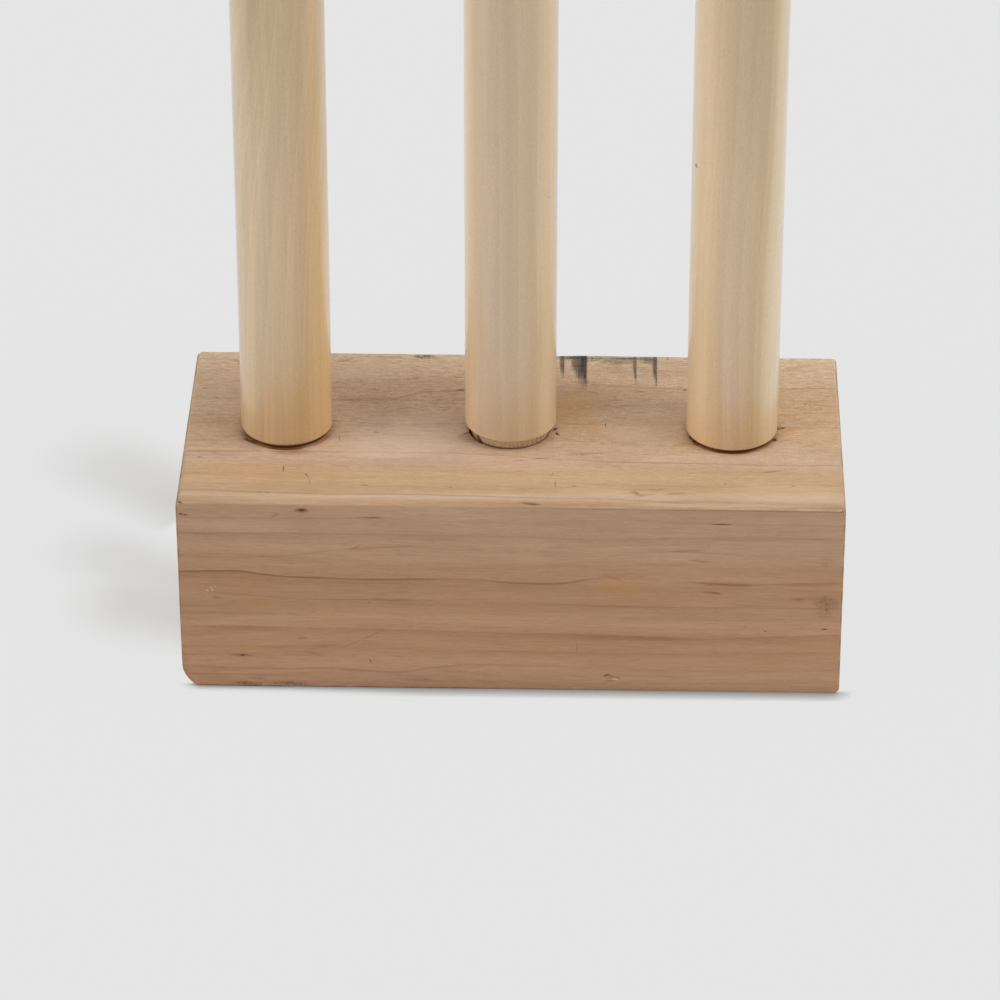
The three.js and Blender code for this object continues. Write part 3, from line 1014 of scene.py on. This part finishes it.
# A growth line along the block, with what fades out below it
def growthLine(finish, along, level, name):
    face, half, strength, places = blockWood["growthLines"][name]
    course, power = [], []
    for px, py, share in places:
        place = onMap(face, px, py)
        course.append((place.x / block["length"] + 0.5, place.y / mapHeight))
        power.append((place.x / block["length"] + 0.5, share))
    height = finish.node("FloatCurve", {"curve": course}, {"Value": along}) * mapHeight
    weight = finish.node("FloatCurve", {"curve": power}, {"Value": along})
    half *= blockWood["lineWidth"]
    mask = finish.ease(abs(level - height), half * 0.2, half, strength, 0.0)
    if name in blockWood["fading"]:
        reach, share = blockWood["fading"][name]
        below = height - level
        tail = finish.ease(below, reach, half * 0.5, 0.0, share) * finish.ease(below, -half * 0.3, half * 0.4)
        mask = finish.most(mask, tail)
    return mask * weight


# The stops of a face's bands, from the front or from the foot
def bandStops(face):
    middle = shot["pixels"] / 2
    stops = []
    for py, colour in blockWood["bands"][face]:
        if face == "top":
            place = onTop(middle, py).y / block["width"] + 0.5
        else:
            place = onFront(middle, py).z / block["height"]
        stops.append((min(1, max(0, place)), paint(*colour)))
    return sorted(stops)


# The colour with every mark that the photograph shows at a place of its own
def markedWood(finish, colour, point, spot, streaks, hairs, combed):
    wood = blockWood
    # Painted shade of the stumps and the foot, and dirty smudges
    shadeAndSmudge = markMask(finish, spot, "shadeAndSmudgeMarks")
    colour = finish.blend(shadeAndSmudge * finish.ease(streaks, 0.3, 0.65, 1.0, 0.45), colour, wood["shadeAndSmudge"])
    colour = finish.blend(markMask(finish, spot, "dullMarks"), colour, wood["dull"])
    pale = markMask(finish, spot, "paleMarks")
    colour = finish.blend(pale * finish.ease(hairs, 0.3, 0.65, 0.6, 1.0), colour, wood["pale"])
    orange = markMask(finish, spot, "orangeMarks")
    colour = finish.blend(orange * finish.ease(hairs, 0.3, 0.65, 0.5, 1.0), colour, wood["orange"])
    reddish = markMask(finish, spot, "rosyMarks")
    colour = finish.blend(reddish * 0.75, colour, finish.blend(reddish, wood["rosy"], wood["ringLine"]))
    grey = markMask(finish, spot, "greyMarks")
    ragged = finish.ease(finish.noise(point, (1.4, 0.7, 0.7), 2.0, 0.6, 63.0), 0.3, 0.62, 0.2, 1.0)
    ragged = ragged * finish.ease(combed, 0.32, 0.6, 0.45, 1.0)
    colour = finish.blend(grey * ragged, colour, wood["stain"])
    flecks = markMask(finish, spot, "flecks")
    return finish.blend(flecks * 0.9, colour, wood["fleck"])


# A blue-black stain at the back edge, drawn out across the fibres and darkest on its right
def stainOn(finish, x, y, combed, left, right, lower, strength):
    leftX, rightX = onTop(left, stainRow).x, onTop(right, stainRow).x
    reach = onTop(right, lower).y
    share = (x - leftX) / (rightX - leftX)
    sides = finish.ease(share, -0.1, 0.5) * finish.ease(share, 1.12, 0.94, 0.0, strength)
    fade = (1 - share) * 0.45 + (combed - 0.5) * 0.9
    down = (y - reach) / (block["width"] / 2 - reach)
    return sides * finish.ease(down - fade, -0.12, 0.34)


# How worn each place is along the block's edges
def edgeMask(finish, x, y, z, edgeNoise):
    top = block["height"]
    fromEnd = block["length"] / 2 - abs(x)
    fromFace = block["width"] / 2 - abs(y)
    fromSole = finish.least(z, top - z)
    near, far = finish.least(fromEnd, fromFace), finish.most(fromEnd, fromFace)
    edgeAway = finish.most(near, finish.least(far, fromSole))
    edge = finish.ease(edgeAway + (edgeNoise - 0.5) * 2.2, 1.0, 0.1)
    return edge * finish.ease(z, top - 1.1, top - 0.2, 0.3, 1.0) * finish.ease(y, 46, 58, 1.0, 0.3)


# The colour with the wear round the holes, and painted shade under the outer stumps' shoulders and in the
# holes' mouths
def holeWearAndShade(finish, colour, x, y, z, isTop, edgeNoise):
    wood = blockWood
    top = block["height"]
    radius = block["holeDiameter"] / 2
    away = {side: finish.length(finish.joined(x - stumpX(side), y, 0.0)) for side in (-1, 0, 1)}
    outer = finish.least(away[-1], away[1])
    rimAway = finish.least(outer, away[0])
    rim = finish.ease(rimAway + (edgeNoise - 0.5) * 5.0, radius + 6.0, radius + 1.0) * isTop
    colour = finish.blend(rim * finish.ease(away[0], 25, 27, 0.08, 0.32), colour, wood["halo"])
    # Painted shade: the grime mask here is a dark crescent on the top in front of each outer stump, under its
    # shoulder
    frayed = outer + (edgeNoise - 0.5) * 1.2 + finish.ease(x, -20, 20, 0.0, 0.8)
    grime = finish.ease(frayed, radius + 3.3, radius + 2.6) * isTop * finish.ease(y, -3, -9)
    across = finish.least(abs(x - stumpX(-1)), abs(x - stumpX(1)))
    paintedShoulderShade = finish.blend(finish.ease(outer, radius + 1.6, radius + 2.4), wood["shoulderShadeInner"], wood["shoulderShadeOuter"])
    colour = finish.blend(grime * finish.ease(across, 11, 4, 0.45, 0.95), colour, paintedShoulderShade)
    # Painted shade: darker in the mouths of the holes and in the chips at their rims
    inHole = finish.ease(rimAway, radius + 2.4, radius + 0.4) * finish.ease(z, top - 0.15, top - 0.8)
    return finish.blend(inHole * finish.ease(away[0], 20, 21, 0.3, 0.85), colour, wood["footAndHoleShade"])


def makeBlockWood():
    finish = Finish("blockWood")
    wood = blockWood
    point = finish.millimetres()
    x, y, z = finish.parts(point)
    top = block["height"]
    backEdge = block["width"] / 2
    isTop = finish.ease(z, top - 0.9, top - 0.6)
    isFront = finish.ease(y, -backEdge + 0.9, -backEdge + 0.6) * (1 - isTop)
    isEnd = finish.ease(abs(x), block["length"] / 2 - 0.9, block["length"] / 2 - 0.5) * (1 - isTop)
    isPlain = (1 - isTop) * (1 - isFront) * (1 - isEnd)

    # The grain bends slowly, and so does all that lies along it
    slow = finish.noise(point, (150, 48, 48), 1.0, 0.5, 3.1)
    bend = (slow - 0.5) * 9
    grain = finish.joined(x, y + bend * 0.6, z + bend)
    quick = finish.noise(point, (70, 12, 12), 2.0, 0.5, 8.4)
    heartY, heartZ = wood["heart"]
    ringAt = finish.length(finish.joined(0.0, y - heartY, z - heartZ))
    ringAt = ringAt + bend * 1.6 + (quick - 0.5) * 2.4 + x * 0.012
    phase = finish.fraction(ringAt / wood["ringWidth"])
    latewood = finish.ease(phase, 0.15, 0.9) * finish.ease(phase, 1.0, 0.93)

    # Bands of colour along the front and the top, as the photograph shows them
    shift = bend * 0.35 + (quick - 0.5) * 3.0
    onDepth, onHeight = (y + shift) / block["width"] + 0.5, (z + shift) / top
    topBand = finish.node("ValToRGB", {"stops": bandStops("top")}, {"Fac": onDepth})
    frontBand = finish.node("ValToRGB", {"stops": bandStops("front")}, {"Fac": onHeight})
    colour = finish.blend(isTop, wood["body"], topBand)
    colour = finish.blend(isFront, colour, frontBand)

    # Fibres: broad streaks, fine streaks and hair-thin ones
    broad = finish.noise(grain, (110, 6, 6), 2.0, 0.55, 1.7)
    streaks = finish.noise(grain, (34, 1.9, 1.15), 4.0, 0.66, 5.2)
    hairs = finish.noise(grain, (8, 0.8, 0.42), 3.0, 0.65, 11.0)
    patches = finish.noise(grain, (60, 24, 24), 2.0, 0.5, 14.0)
    crinkle = finish.noise(grain, (4.5, 0.9, 0.5), 3.0, 0.7, 19.0)
    grit = finish.noise(point, (1.0, 0.8, 0.8), 2.0, 0.7, 27.0)
    tone = (broad - 0.5) * 0.36 + (streaks - 0.5) * (0.6 - isTop * 0.2)
    tone = tone + (hairs - 0.5) * 0.58 + (patches - 0.5) * 0.3
    tone = tone + ((crinkle - 0.5) * 1.7 + (grit - 0.5) * 1.0) * finish.ease(y, -62, 25, 0.2, 1.0)
    # Lighter towards the right end: partly the wood, partly painted light from the right
    tone = tone + x / block["length"] * 0.1 - latewood * (isEnd * 0.45 + isPlain * 0.2 + 0.08) - isEnd * 0.12
    shade = finish.joined(tone * 0.55 + 1, tone * 0.7 + 1, tone * 0.8 + 1)
    colour = finish.blend(1.0, colour, shade, "MULTIPLY")

    # Pores and short dark fibres
    pores = finish.noise(grain, (5.5, 0.3, 0.3), 1.0, 0.5, 40.0)
    poreMask = finish.ease(pores, 0.66, 0.76)
    poreShade = poreMask * finish.ease(patches, 0.35, 0.6, 0.0, 0.25)
    colour = finish.blend(poreShade, colour, wood["ringLine"])
    dashes = finish.noise(grain, (22, 0.7, 0.7), 1.0, 0.5, 47.0)
    dashMask = finish.ease(dashes, 0.70, 0.80)
    colour = finish.blend(dashMask * 0.22, colour, wood["ringLine"])

    # The map of the top and the front, slightly shaken along the fibres
    shake = (finish.noise(point, (5, 1.6, 1.6), 2.0, 0.6, 52.0) - 0.5) * 1.1
    level = (y + topShelf) * isTop + z * isFront + (1 - isTop - isFront) * offMap
    spot = finish.joined(x + shake * 1.6, level + shake * 0.5, 1.0)
    along = (x + shake) / block["length"] + 0.5

    # Growth lines, marks and stains that the photograph shows
    wander = (quick - 0.5) * 1.2
    lines = finish.strongest(growthLine(finish, along, level + wander, name) for name in wood["growthLines"])
    lines = lines * finish.ease(streaks, 0.25, 0.6, 0.6, 1.0)
    colour = finish.blend(lines * 0.66, colour, wood["ringLine"])
    combed = finish.noise(point, (0.5, 30, 30), 2.0, 0.7, 71.0)
    colour = markedWood(finish, colour, point, spot, streaks, hairs, combed)
    stain = finish.strongest(stainOn(finish, x, y, combed, *place) for place in wood["stains"].values())
    stain = stain * isTop * finish.ease(combed, 0.25, 0.55, 0.78, 1.0)
    stain = stain * finish.ease(hairs, 0.35, 0.6, 1.0, 0.92)
    colour = finish.blend(stain, colour, wood["stain"])

    # Wear along the edges, painted shade along the foot, and the wear and painted shade round the holes
    edgeNoise = finish.noise(point, (7, 2.5, 2.5), 2.0, 0.6, 83.0)
    edge = edgeMask(finish, x, y, z, edgeNoise)
    colour = finish.blend(edge * finish.ease(x, 50, 125, 0.14, 0.5), colour, wood["edge"])
    # Painted shade: darker along the lowest mm of the block, more at the left
    sole = finish.ease(z + (edgeNoise - 0.5) * 1.4, 1.1, 0.1)
    colour = finish.blend(sole * finish.ease(x, -40, 60, 0.6, 0.15), colour, wood["footAndHoleShade"])
    colour = holeWearAndShade(finish, colour, x, y, z, isTop, edgeNoise)

    rough = wood["roughness"] + (streaks - 0.5) * 0.16 + stain * 0.1 - edge * 0.08
    height = (streaks - 0.5) * 0.05 + (hairs - 0.5) * 0.035 - poreMask * 0.04
    return finish.close(colour, rough, height, **{"Specular IOR Level": 0.2})


blockPiece = makeBlock()
dress(blockPiece, makeBlockWood(), "block", "base_block")
print("block: done,", len(blockPiece.data.polygons), "faces")


stump = {
    "diameter": 38.1,
    "tenonDiameter": 33.0,
    "tenonChamfer": 1.5,
    "shoulderRound": 1.0,
    "shoulderRaise": {"left_stump": 1.3, "middle_stump": 4.1, "right_stump": 1.3},
    "domeHeight": 12.0,
    "grooveWidth": 9.5,
    "grooveDepth": 8.0,
    "grooveEase": 0.45,          # rounding of the groove's edges
    # how far each stump stands to the right in its hole
    "nudge": {"left_stump": -0.2, "middle_stump": 0.45, "right_stump": -0.15},
    "sides": 96,
}


def stumpProfile(raised):
    radius = stump["diameter"] / 2
    tenon = stump["tenonDiameter"] / 2
    chamfer = stump["tenonChamfer"]
    soft = stump["shoulderRound"]
    foot = block["height"] - block["holeDepth"]
    shoulder = block["height"] + raised
    top = wicket["height"]
    dome = stump["domeHeight"]
    profile = [(0.4, foot), (tenon - chamfer - 0.3, foot), (tenon - chamfer + 0.2, foot + 0.2)]
    profile += [(tenon - 0.2, foot + chamfer - 0.2), (tenon, foot + chamfer + 0.3)]
    profile += [(tenon, shoulder - 8), (tenon, shoulder - 0.4), (tenon + 0.25, shoulder - 0.05)]
    for step in range(7):
        angle = math.radians(-90 + 15 * step)
        profile.append((radius - soft + soft * math.cos(angle), shoulder + soft + soft * math.sin(angle)))
    low, high = shoulder + soft + 2, top - dome - 2
    for step in range(16):
        profile.append((radius, low + (high - low) * step / 15))
    for step in range(18):
        angle = math.radians(5 * step)
        profile.append((radius * math.cos(angle), top - dome + dome * math.sin(angle)))
    profile.append((0.4, top))
    return profile


# The groove for the bails across the top of a stump, along X
def grooveTool(x):
    radius = stump["grooveWidth"] / 2
    middle = wicket["height"] - stump["grooveDepth"] + radius
    reach = stump["diameter"] / 2 + 2
    above = wicket["height"] + 2
    bend = [math.radians(180 + 9 * step) for step in range(21)]
    outline = [(radius * math.cos(angle), middle + radius * math.sin(angle)) for angle in bend]
    outline = [(-radius, above), *outline, (radius, above)]
    rings = [[(x + end * reach, y, z) for y, z in outline] for end in (-1, 1)]
    return skin(rings)


def makeStump(name):
    x = stumpX(wicket["side"][name]) + stump["nudge"][name]
    profile = stumpProfile(stump["shoulderRaise"][name])
    piece = makePiece(name + "Turned", *turned(profile, stump["sides"], x))
    carve(piece, makePiece("groove", *grooveTool(x)))
    easeGroove(piece)
    smoothOver(piece, 40)
    return piece


# Rounds the edges that the groove leaves on the dome
def easeGroove(piece):
    build = bmesh.new()
    build.from_mesh(piece.data)
    bmesh.ops.remove_doubles(build, verts=build.verts, dist=0.12 * mm)
    lowest = (wicket["height"] - stump["domeHeight"] - 2) * mm
    edges = [
        edge for edge in build.edges
        if min(corner.co.z for corner in edge.verts) > lowest
        and len(edge.link_faces) == 2 and edge.calc_face_angle(0) > math.radians(25)
    ]
    bmesh.ops.bevel(
        build, geom=edges, offset=stump["grooveEase"] * mm, segments=3, affect="EDGES",
        profile=0.5, clamp_overlap=True,
    )
    build.to_mesh(piece.data)
    build.free()


# Colours and marks of the stumps' wood
stumpWood = {
    "roughness": 0.42,
    "coat": 1.0,
    "coatRoughness": 0.18,
    "tenon": paint(216, 186, 146),
    "tenonDark": paint(112, 82, 52),
    # painted shade of the gap between a tenon and its hole
    "gapShade": paint(44, 28, 16),
    "rim": paint(232, 214, 184),
    # painted shade: this darker tint stands for the middle that the side lights leave darker
    "high": (0.78, 0.76, 0.68, 1.0),     # tint of the front and the back, well up the stump
    "ringWidth": 7.0,
    "bandReach": 24.0,           # from the middle of the stump to the bands' ends, in mm
    "leanScale": 100.0,          # the shift that a whole step of the lean's curve stands for, in mm
    "knot": paint(92, 60, 38),
    "left_stump": {
        "seed": 2.0,
        "turn": 8,
        "lines": 0.30,           # strength of the fine lines
        # the tint well up is painted shade
        "high": 1.0,             # strength of the tint well up
        # painted light: how much lighter the side lights make the left and the right side
        "sides": (0.0, 0.12),    # how much lighter the left and the right side are
        "foot": (55, (0.985, 0.9, 0.78, 1.0)),       # tint above the shoulder, and how far up it fades
        # bands of colour along the grain: mm to the right of the middle at the foot, colour
        "bands": (
            (-24, (220, 195, 158)), (-17, (226, 201, 162)), (-12, (217, 190, 153)), (-6, (211, 183, 146)),
            (0, (207, 179, 140)), (1.5, (201, 172, 131)), (7, (204, 174, 130)), (11, (208, 177, 132)),
            (13.5, (210, 176, 126)), (17, (221, 191, 145)), (24, (221, 193, 152)),
        ),
        # how far the bands have moved to the right at a height: height, shift
        "lean": ((91, 0), (141, 0.3), (189, 2.2), (240, 7.2), (287, 13), (400, 24), (560, 31), (711, 36)),
        # small knots: pixel x, y, half width and half height in mm
        "knots": ((325, 77, 0.4, 0.6),),
    },
    "middle_stump": {
        "seed": 9.0,
        "turn": -6,
        "lines": 0.1,
        "high": 0.1,
        "sides": (0.13, 0.07),
        "foot": (22, (0.99, 0.955, 0.915, 1.0)),
        "bands": (
            (-24, (226, 200, 164)), (-17.5, (233, 208, 172)), (-15.4, (227, 199, 159)),
            (-13, (222, 196, 163)), (-8, (219, 194, 165)), (-1, (209, 184, 155)),
            (2, (204, 176, 141)), (6, (206, 182, 150)), (11, (205, 180, 144)),
            (14, (211, 187, 151)), (17, (221, 199, 164)), (24, (218, 195, 158)),
        ),
        "lean": ((91, 0), (200, 0.5), (300, 0.2), (450, -3), (600, -5), (711, -4)),
        "knots": ((548.5, 197, 0.5, 0.6),),
    },
    "right_stump": {
        "seed": 17.0,
        "turn": 12,
        "lines": 0.16,
        "high": 0.66,
        "sides": (0.09, 0.11),
        "foot": (24, (0.985, 0.92, 0.83, 1.0)),
        "bands": (
            (-24, (229, 202, 164)), (-17, (237, 211, 172)), (-14, (229, 200, 157)), (-10, (219, 191, 155)),
            (-6, (214, 187, 156)), (0, (208, 181, 146)), (4, (206, 178, 138)), (8, (206, 179, 138)),
            (9.5, (213, 189, 150)), (14, (218, 197, 160)), (18, (220, 199, 165)), (24, (216, 193, 157)),
        ),
        "lean": ((91, 0), (160, -0.6), (220, 1.5), (287, 3.2), (400, 5), (560, 3), (711, 1)),
        "knots": ((696.5, 165.4, 0.9, 1.5),),
    },
}


# Where a pixel of the photograph lies on the near side of a stump, in mm
def onStump(px, py, name):
    ray = sightLine(px, py)
    start = eye / mm - Vector((stumpX(wicket["side"][name]), 0, 0))
    a = ray.x ** 2 + ray.y ** 2
    b = start.x * ray.x + start.y * ray.y
    c = start.x ** 2 + start.y ** 2 - (stump["diameter"] / 2) ** 2
    return eye / mm + ray * ((-b - math.sqrt(max(0, b * b - a * c))) / a)


# Small knots where the photograph shows them
def knotMask(finish, point, name):
    masks = []
    for px, py, wide, tall in stumpWood[name]["knots"]:
        away = finish.node(
            "Mapping", {"vector_type": "TEXTURE"},
            {"Vector": point, "Location": tuple(onStump(px, py, name)), "Scale": (wide, wide * 2, tall)},
        )
        masks.append(finish.ease(finish.length(away), 0.3, 1.0, 1.0, 0.0))
    return finish.strongest(masks)


# The tenon's colour: bare wood, dirty, darker from just above the mouth of its hole downwards, with a painted
# gap shadow as a dark line where it stands in that mouth
def tenonWood(finish, x, z, centre, grime):
    wood = stumpWood
    mouth = block["height"]
    dirty = finish.ease(grime, 0.42, 0.7) * finish.ease(x - centre, -8, 10, 0.25, 0.85)
    sunk = finish.ease(z, mouth + 0.9, mouth + 0.1, 0.0, 0.8)
    sunk = sunk * finish.ease(z, mouth - 16, mouth - 3, 0.3, 1.0)
    colour = finish.blend(finish.most(dirty, sunk), wood["tenon"], wood["tenonDark"])
    # Painted shade: a slanting dark line for the gap's shadow at the mouth of the hole
    slant = abs(x - centre + (z - mouth) * 0.7 + 11.7)
    gapShadow = finish.ease(slant, 1.1, 0.4) * finish.ease(z, mouth - 2.5, mouth - 0.5)
    return finish.blend(gapShadow, colour, wood["gapShade"])


def makeStumpWood(name):
    finish = Finish(name + "Wood")
    wood = stumpWood
    own = wood[name]
    point = finish.millimetres()
    x, y, z = finish.parts(point)
    centre = stumpX(wicket["side"][name])
    shoulder = block["height"] + stump["shoulderRaise"][name]
    seed = own["seed"]

    # Bands of colour across the stump, which lean as the grain does
    twist = math.radians(own["turn"])
    tallest, scale = wicket["height"], wood["leanScale"]
    course = [(height / tallest, 0.5 + shift / scale) for height, shift in own["lean"]]
    lean = (finish.node("FloatCurve", {"curve": course}, {"Value": z / tallest}) - 0.5) * scale
    slow = finish.noise(point, (26, 26, 240), 1.0, 0.5, seed)
    quick = finish.noise(point, (6, 6, 90), 2.0, 0.5, seed + 4)
    across = (x - centre) * math.cos(twist) + y * math.sin(twist)
    across = across - lean + (slow - 0.5) * 6 + (quick - 0.5) * 1.6
    reach = wood["bandReach"]
    share = finish.node("Math", {"operation": "PINGPONG"}, {0: across + reach, 1: 2 * reach}) / (2 * reach)
    stops = [((place + reach) / (2 * reach), paint(*colour)) for place, colour in own["bands"]]
    colour = finish.node("ValToRGB", {"stops": stops}, {"Fac": share})

    # Fine lines of the rings, and the fibres along the stump
    ringSpot = finish.joined(across * 0.75, y * 0.05, z * 0.004)
    rings = finish.node("TexNoise", {}, {"Vector": ringSpot, "Scale": 1.0, "Detail": 4.0, "Roughness": 0.55})
    phase = finish.fraction((across + (rings - 0.5) * 5 + 50) / wood["ringWidth"])
    season = finish.ease(phase, 0.05, 0.9) * finish.ease(phase, 1.0, 0.92)
    streaks = finish.noise(point, (1.7, 1.7, 60), 3.0, 0.6, seed + 7)
    hairs = finish.noise(point, (0.35, 0.35, 16), 2.0, 0.6, seed + 11)
    mottle = finish.noise(point, (0.8, 0.8, 1.5), 2.0, 0.6, seed + 9)
    broad = finish.noise(point, (3.4, 3.4, 120), 2.0, 0.6, seed + 13)
    tone = (rings - 0.5) * own["lines"] + (streaks - 0.5) * 0.08 + (hairs - 0.5) * 0.1
    tone = tone + (mottle - 0.5) * 0.22 + (broad - 0.5) * own["lines"] * 0.8 + (0.4 - season) * 0.04
    # Painted light: lighter along the left and the right side
    paintedLightLeft, paintedLightRight = own["sides"]
    tone = tone + finish.ease(x, centre - 10, centre - 14.5, 0.0, paintedLightLeft)
    tone = tone + finish.ease(x, centre + 9, centre + 14.5, 0.0, paintedLightRight)
    # Painted shade: the front and the back, well up the stump, darker than the sides
    high = finish.ease(z, 170, 320, 0.0, own["high"]) * finish.ease(abs(x - centre), 17, 9)
    colour = finish.blend(high, colour, wood["high"], "MULTIPLY")
    shade = finish.joined(tone + 1, tone * 1.05 + 1, tone * 1.3 + 1)
    colour = finish.blend(1.0, colour, shade, "MULTIPLY")
    footHeight, footTint = own["foot"]
    footed = finish.ease(z, shoulder + footHeight, shoulder + 2)
    colour = finish.blend(footed, colour, footTint, "MULTIPLY")

    pores = finish.ease(finish.noise(point, (0.3, 0.3, 5), 1.0, 0.5, seed + 15), 0.68, 0.78)
    colour = finish.blend(pores * 0.16, colour, wood["tenonDark"])

    # The tenon below the lacquered shoulder, the shoulder's pale rim, and the knots
    below = finish.ease(z, shoulder - 0.15, shoulder - 0.5)
    grime = finish.noise(point, (0.8, 0.8, 0.9), 3.0, 0.65, seed + 19)
    colour = finish.blend(below * 0.95, colour, tenonWood(finish, x, z, centre, grime))
    rim = finish.ease(z, shoulder + 0.8, shoulder + 0.2) * (1 - below)
    colour = finish.blend(rim * 0.5, colour, wood["rim"])
    colour = finish.blend(knotMask(finish, point, name) * 0.85, colour, wood["knot"])

    rough = wood["roughness"] + (streaks - 0.5) * 0.12 + below * 0.25
    height = (rings - 0.5) * 0.02 + (hairs - 0.5) * 0.012 - pores * 0.015 + below * (grime - 0.5) * 0.1
    coat = {"Coat Weight": wood["coat"], "Coat Roughness": wood["coatRoughness"]}
    return finish.close(colour, rough, height, **coat)


for name in ("left_stump", "middle_stump", "right_stump"):
    stumpPiece = makeStump(name)
    dress(stumpPiece, makeStumpWood(name), name, name)
    print(name + ": done,", len(stumpPiece.data.polygons), "faces")


bail = {
    "endClearance": 0.8,         # between the barrel and the stumps
    "seatClearance": 0.3,        # between a spigot's root and the groove
    "rootDiameter": 8.4,
    "tipDiameter": 7.6,
    "tipRound": 1.0,
    "longSpigot": 34.9,
    "shortSpigotGap": 1.2,
    "barrelDiameter": 20.59,
    "beadDiameter": 20.0,
    "beadWidth": 6.4,
    "beadEdgeDiameter": 15.4,
    "coveDiameter": 14.6,
    "coveWidth": 1.8,
    "sides": 64,
}


# A swelling stretch of the bail, from one place to another along it
def swelling(start, end, edge, crown, steps):
    return [
        (edge + (crown - edge) * math.sin(math.pi * step / steps), start + (end - start) * step / steps)
        for step in range(steps + 1)
    ]


def bailProfile():
    stumpRadius = stump["diameter"] / 2
    barrelEnd = (wicket["spacing"] - stump["diameter"]) / 2 - bail["endClearance"]
    beadEnd = barrelEnd - bail["beadWidth"]
    swellEnd = beadEnd - bail["coveWidth"]
    longTip = barrelEnd + bail["longSpigot"]
    shortTip = -barrelEnd - (stumpRadius + bail["endClearance"] - bail["shortSpigotGap"] / 2)
    root, tip, soft = bail["rootDiameter"] / 2, bail["tipDiameter"] / 2, bail["tipRound"]
    beadEdge, bead = bail["beadEdgeDiameter"] / 2, bail["beadDiameter"] / 2
    cove = bail["coveDiameter"] / 2

    def tipRound(end, inward):
        return [
            (tip - soft + soft * math.sin(angle), end + inward * soft * (1 - math.cos(angle)))
            for angle in [math.radians(18 * step) for step in range(6)]
        ]

    profile = [(0.3, shortTip)] + tipRound(shortTip, 1)
    profile += [(root, -barrelEnd - 0.5), (root + 0.5, -barrelEnd), (beadEdge - 0.5, -barrelEnd)]
    profile += swelling(-barrelEnd, -beadEnd, beadEdge, bead, 14)
    profile += [(cove, (-beadEnd - swellEnd) / 2)]
    profile += swelling(-swellEnd, swellEnd, beadEdge, bail["barrelDiameter"] / 2, 28)
    profile += [(cove, (beadEnd + swellEnd) / 2)]
    profile += swelling(beadEnd, barrelEnd, beadEdge, bead, 14)
    profile += [(beadEdge - 0.5, barrelEnd), (root + 0.5, barrelEnd), (root, barrelEnd + 0.5)]
    profile += list(reversed(tipRound(longTip, -1))) + [(0.3, longTip)]
    return profile


# The height of a bail's axis
def bailAxis():
    groove = wicket["height"] - stump["grooveDepth"]
    return groove + bail["seatClearance"] + bail["rootDiameter"] / 2


def makeBail(name, side):
    corners, faces = turned(bailProfile(), bail["sides"])
    middle = wicket["rowOffset"] + side * wicket["spacing"] / 2
    height = bailAxis()
    laid = [(middle + side * z, y, height - side * x) for x, y, z in corners]
    piece = makePiece(name + "Turned", laid, faces)
    smoothOver(piece, 35)
    return piece


# Colours of the bails' wood
bailWood = {
    "pale": paint(222, 198, 164),
    "body": paint(210, 182, 144),
    "deep": paint(188, 154, 112),
    "ringLine": paint(156, 118, 78),
    "rim": paint(150, 118, 84),
    "roughness": 0.36,
    "ringWidth": 2.6,
    "heart": (16.0, -21.0),      # y and z of the tree's middle from the bail's axis; y changes sides
}


def makeBailWood(name, side):
    finish = Finish(name + "Wood")
    wood = bailWood
    point = finish.millimetres()
    x, y, z = finish.parts(point)
    height = bailAxis()
    seed = 23.0 + side * 5
    slow = finish.noise(point, (80, 14, 14), 1.0, 0.5, seed)
    quick = finish.noise(point, (24, 4, 4), 2.0, 0.5, seed + 3)
    heartY, heartZ = wood["heart"]
    ringAt = finish.length(finish.joined(0.0, y - heartY * side, z - height - heartZ))
    ringAt = ringAt + (slow - 0.5) * 7 + (quick - 0.5) * 0.9 + x * 0.03
    phase = finish.fraction(ringAt / wood["ringWidth"])
    line = finish.ease(phase, 0.55, 0.93) * finish.ease(phase, 1.0, 0.95)
    broad = finish.noise(point, (60, 4, 4), 2.0, 0.5, seed + 6)
    streaks = finish.noise(point, (22, 0.9, 0.9), 3.0, 0.6, seed + 9)
    hairs = finish.noise(point, (9, 0.3, 0.3), 2.0, 0.6, seed + 12)
    tone = 0.5 + (broad - 0.5) * 0.9 + (streaks - 0.5) * 0.6 + (hairs - 0.5) * 0.4
    stops = ((0.15, wood["deep"]), (0.48, wood["body"]), (0.85, wood["pale"]))
    colour = finish.node("ValToRGB", {"stops": stops}, {"Fac": tone})
    colour = finish.blend(line * 0.3, colour, wood["ringLine"])
    pores = finish.ease(finish.noise(point, (4, 0.28, 0.28), 1.0, 0.5, seed + 15), 0.68, 0.78)
    colour = finish.blend(pores * 0.2, colour, wood["ringLine"])
    fromMiddle = abs(x - wicket["rowOffset"] - side * wicket["spacing"] / 2)
    barrelEnd = (wicket["spacing"] - stump["diameter"]) / 2 - bail["endClearance"]
    coveAt = barrelEnd - bail["beadWidth"] - bail["coveWidth"] / 2
    # Darker in the coves between the beads and the barrel
    coveDarkening = finish.ease(abs(fromMiddle - coveAt), 1.6, 0.3)
    colour = finish.blend(coveDarkening * 0.4, colour, wood["rim"])
    rough = wood["roughness"] + (streaks - 0.5) * 0.12
    relief = (streaks - 0.5) * 0.02 + (hairs - 0.5) * 0.012 - pores * 0.015 - line * 0.01
    return finish.close(colour, rough, relief)


for name, side in (("left_bail", -1), ("right_bail", 1)):
    bailPiece = makeBail(name, side)
    dress(bailPiece, makeBailWood(name, side), name, name)
    print(name + ": done,", len(bailPiece.data.polygons), "faces")
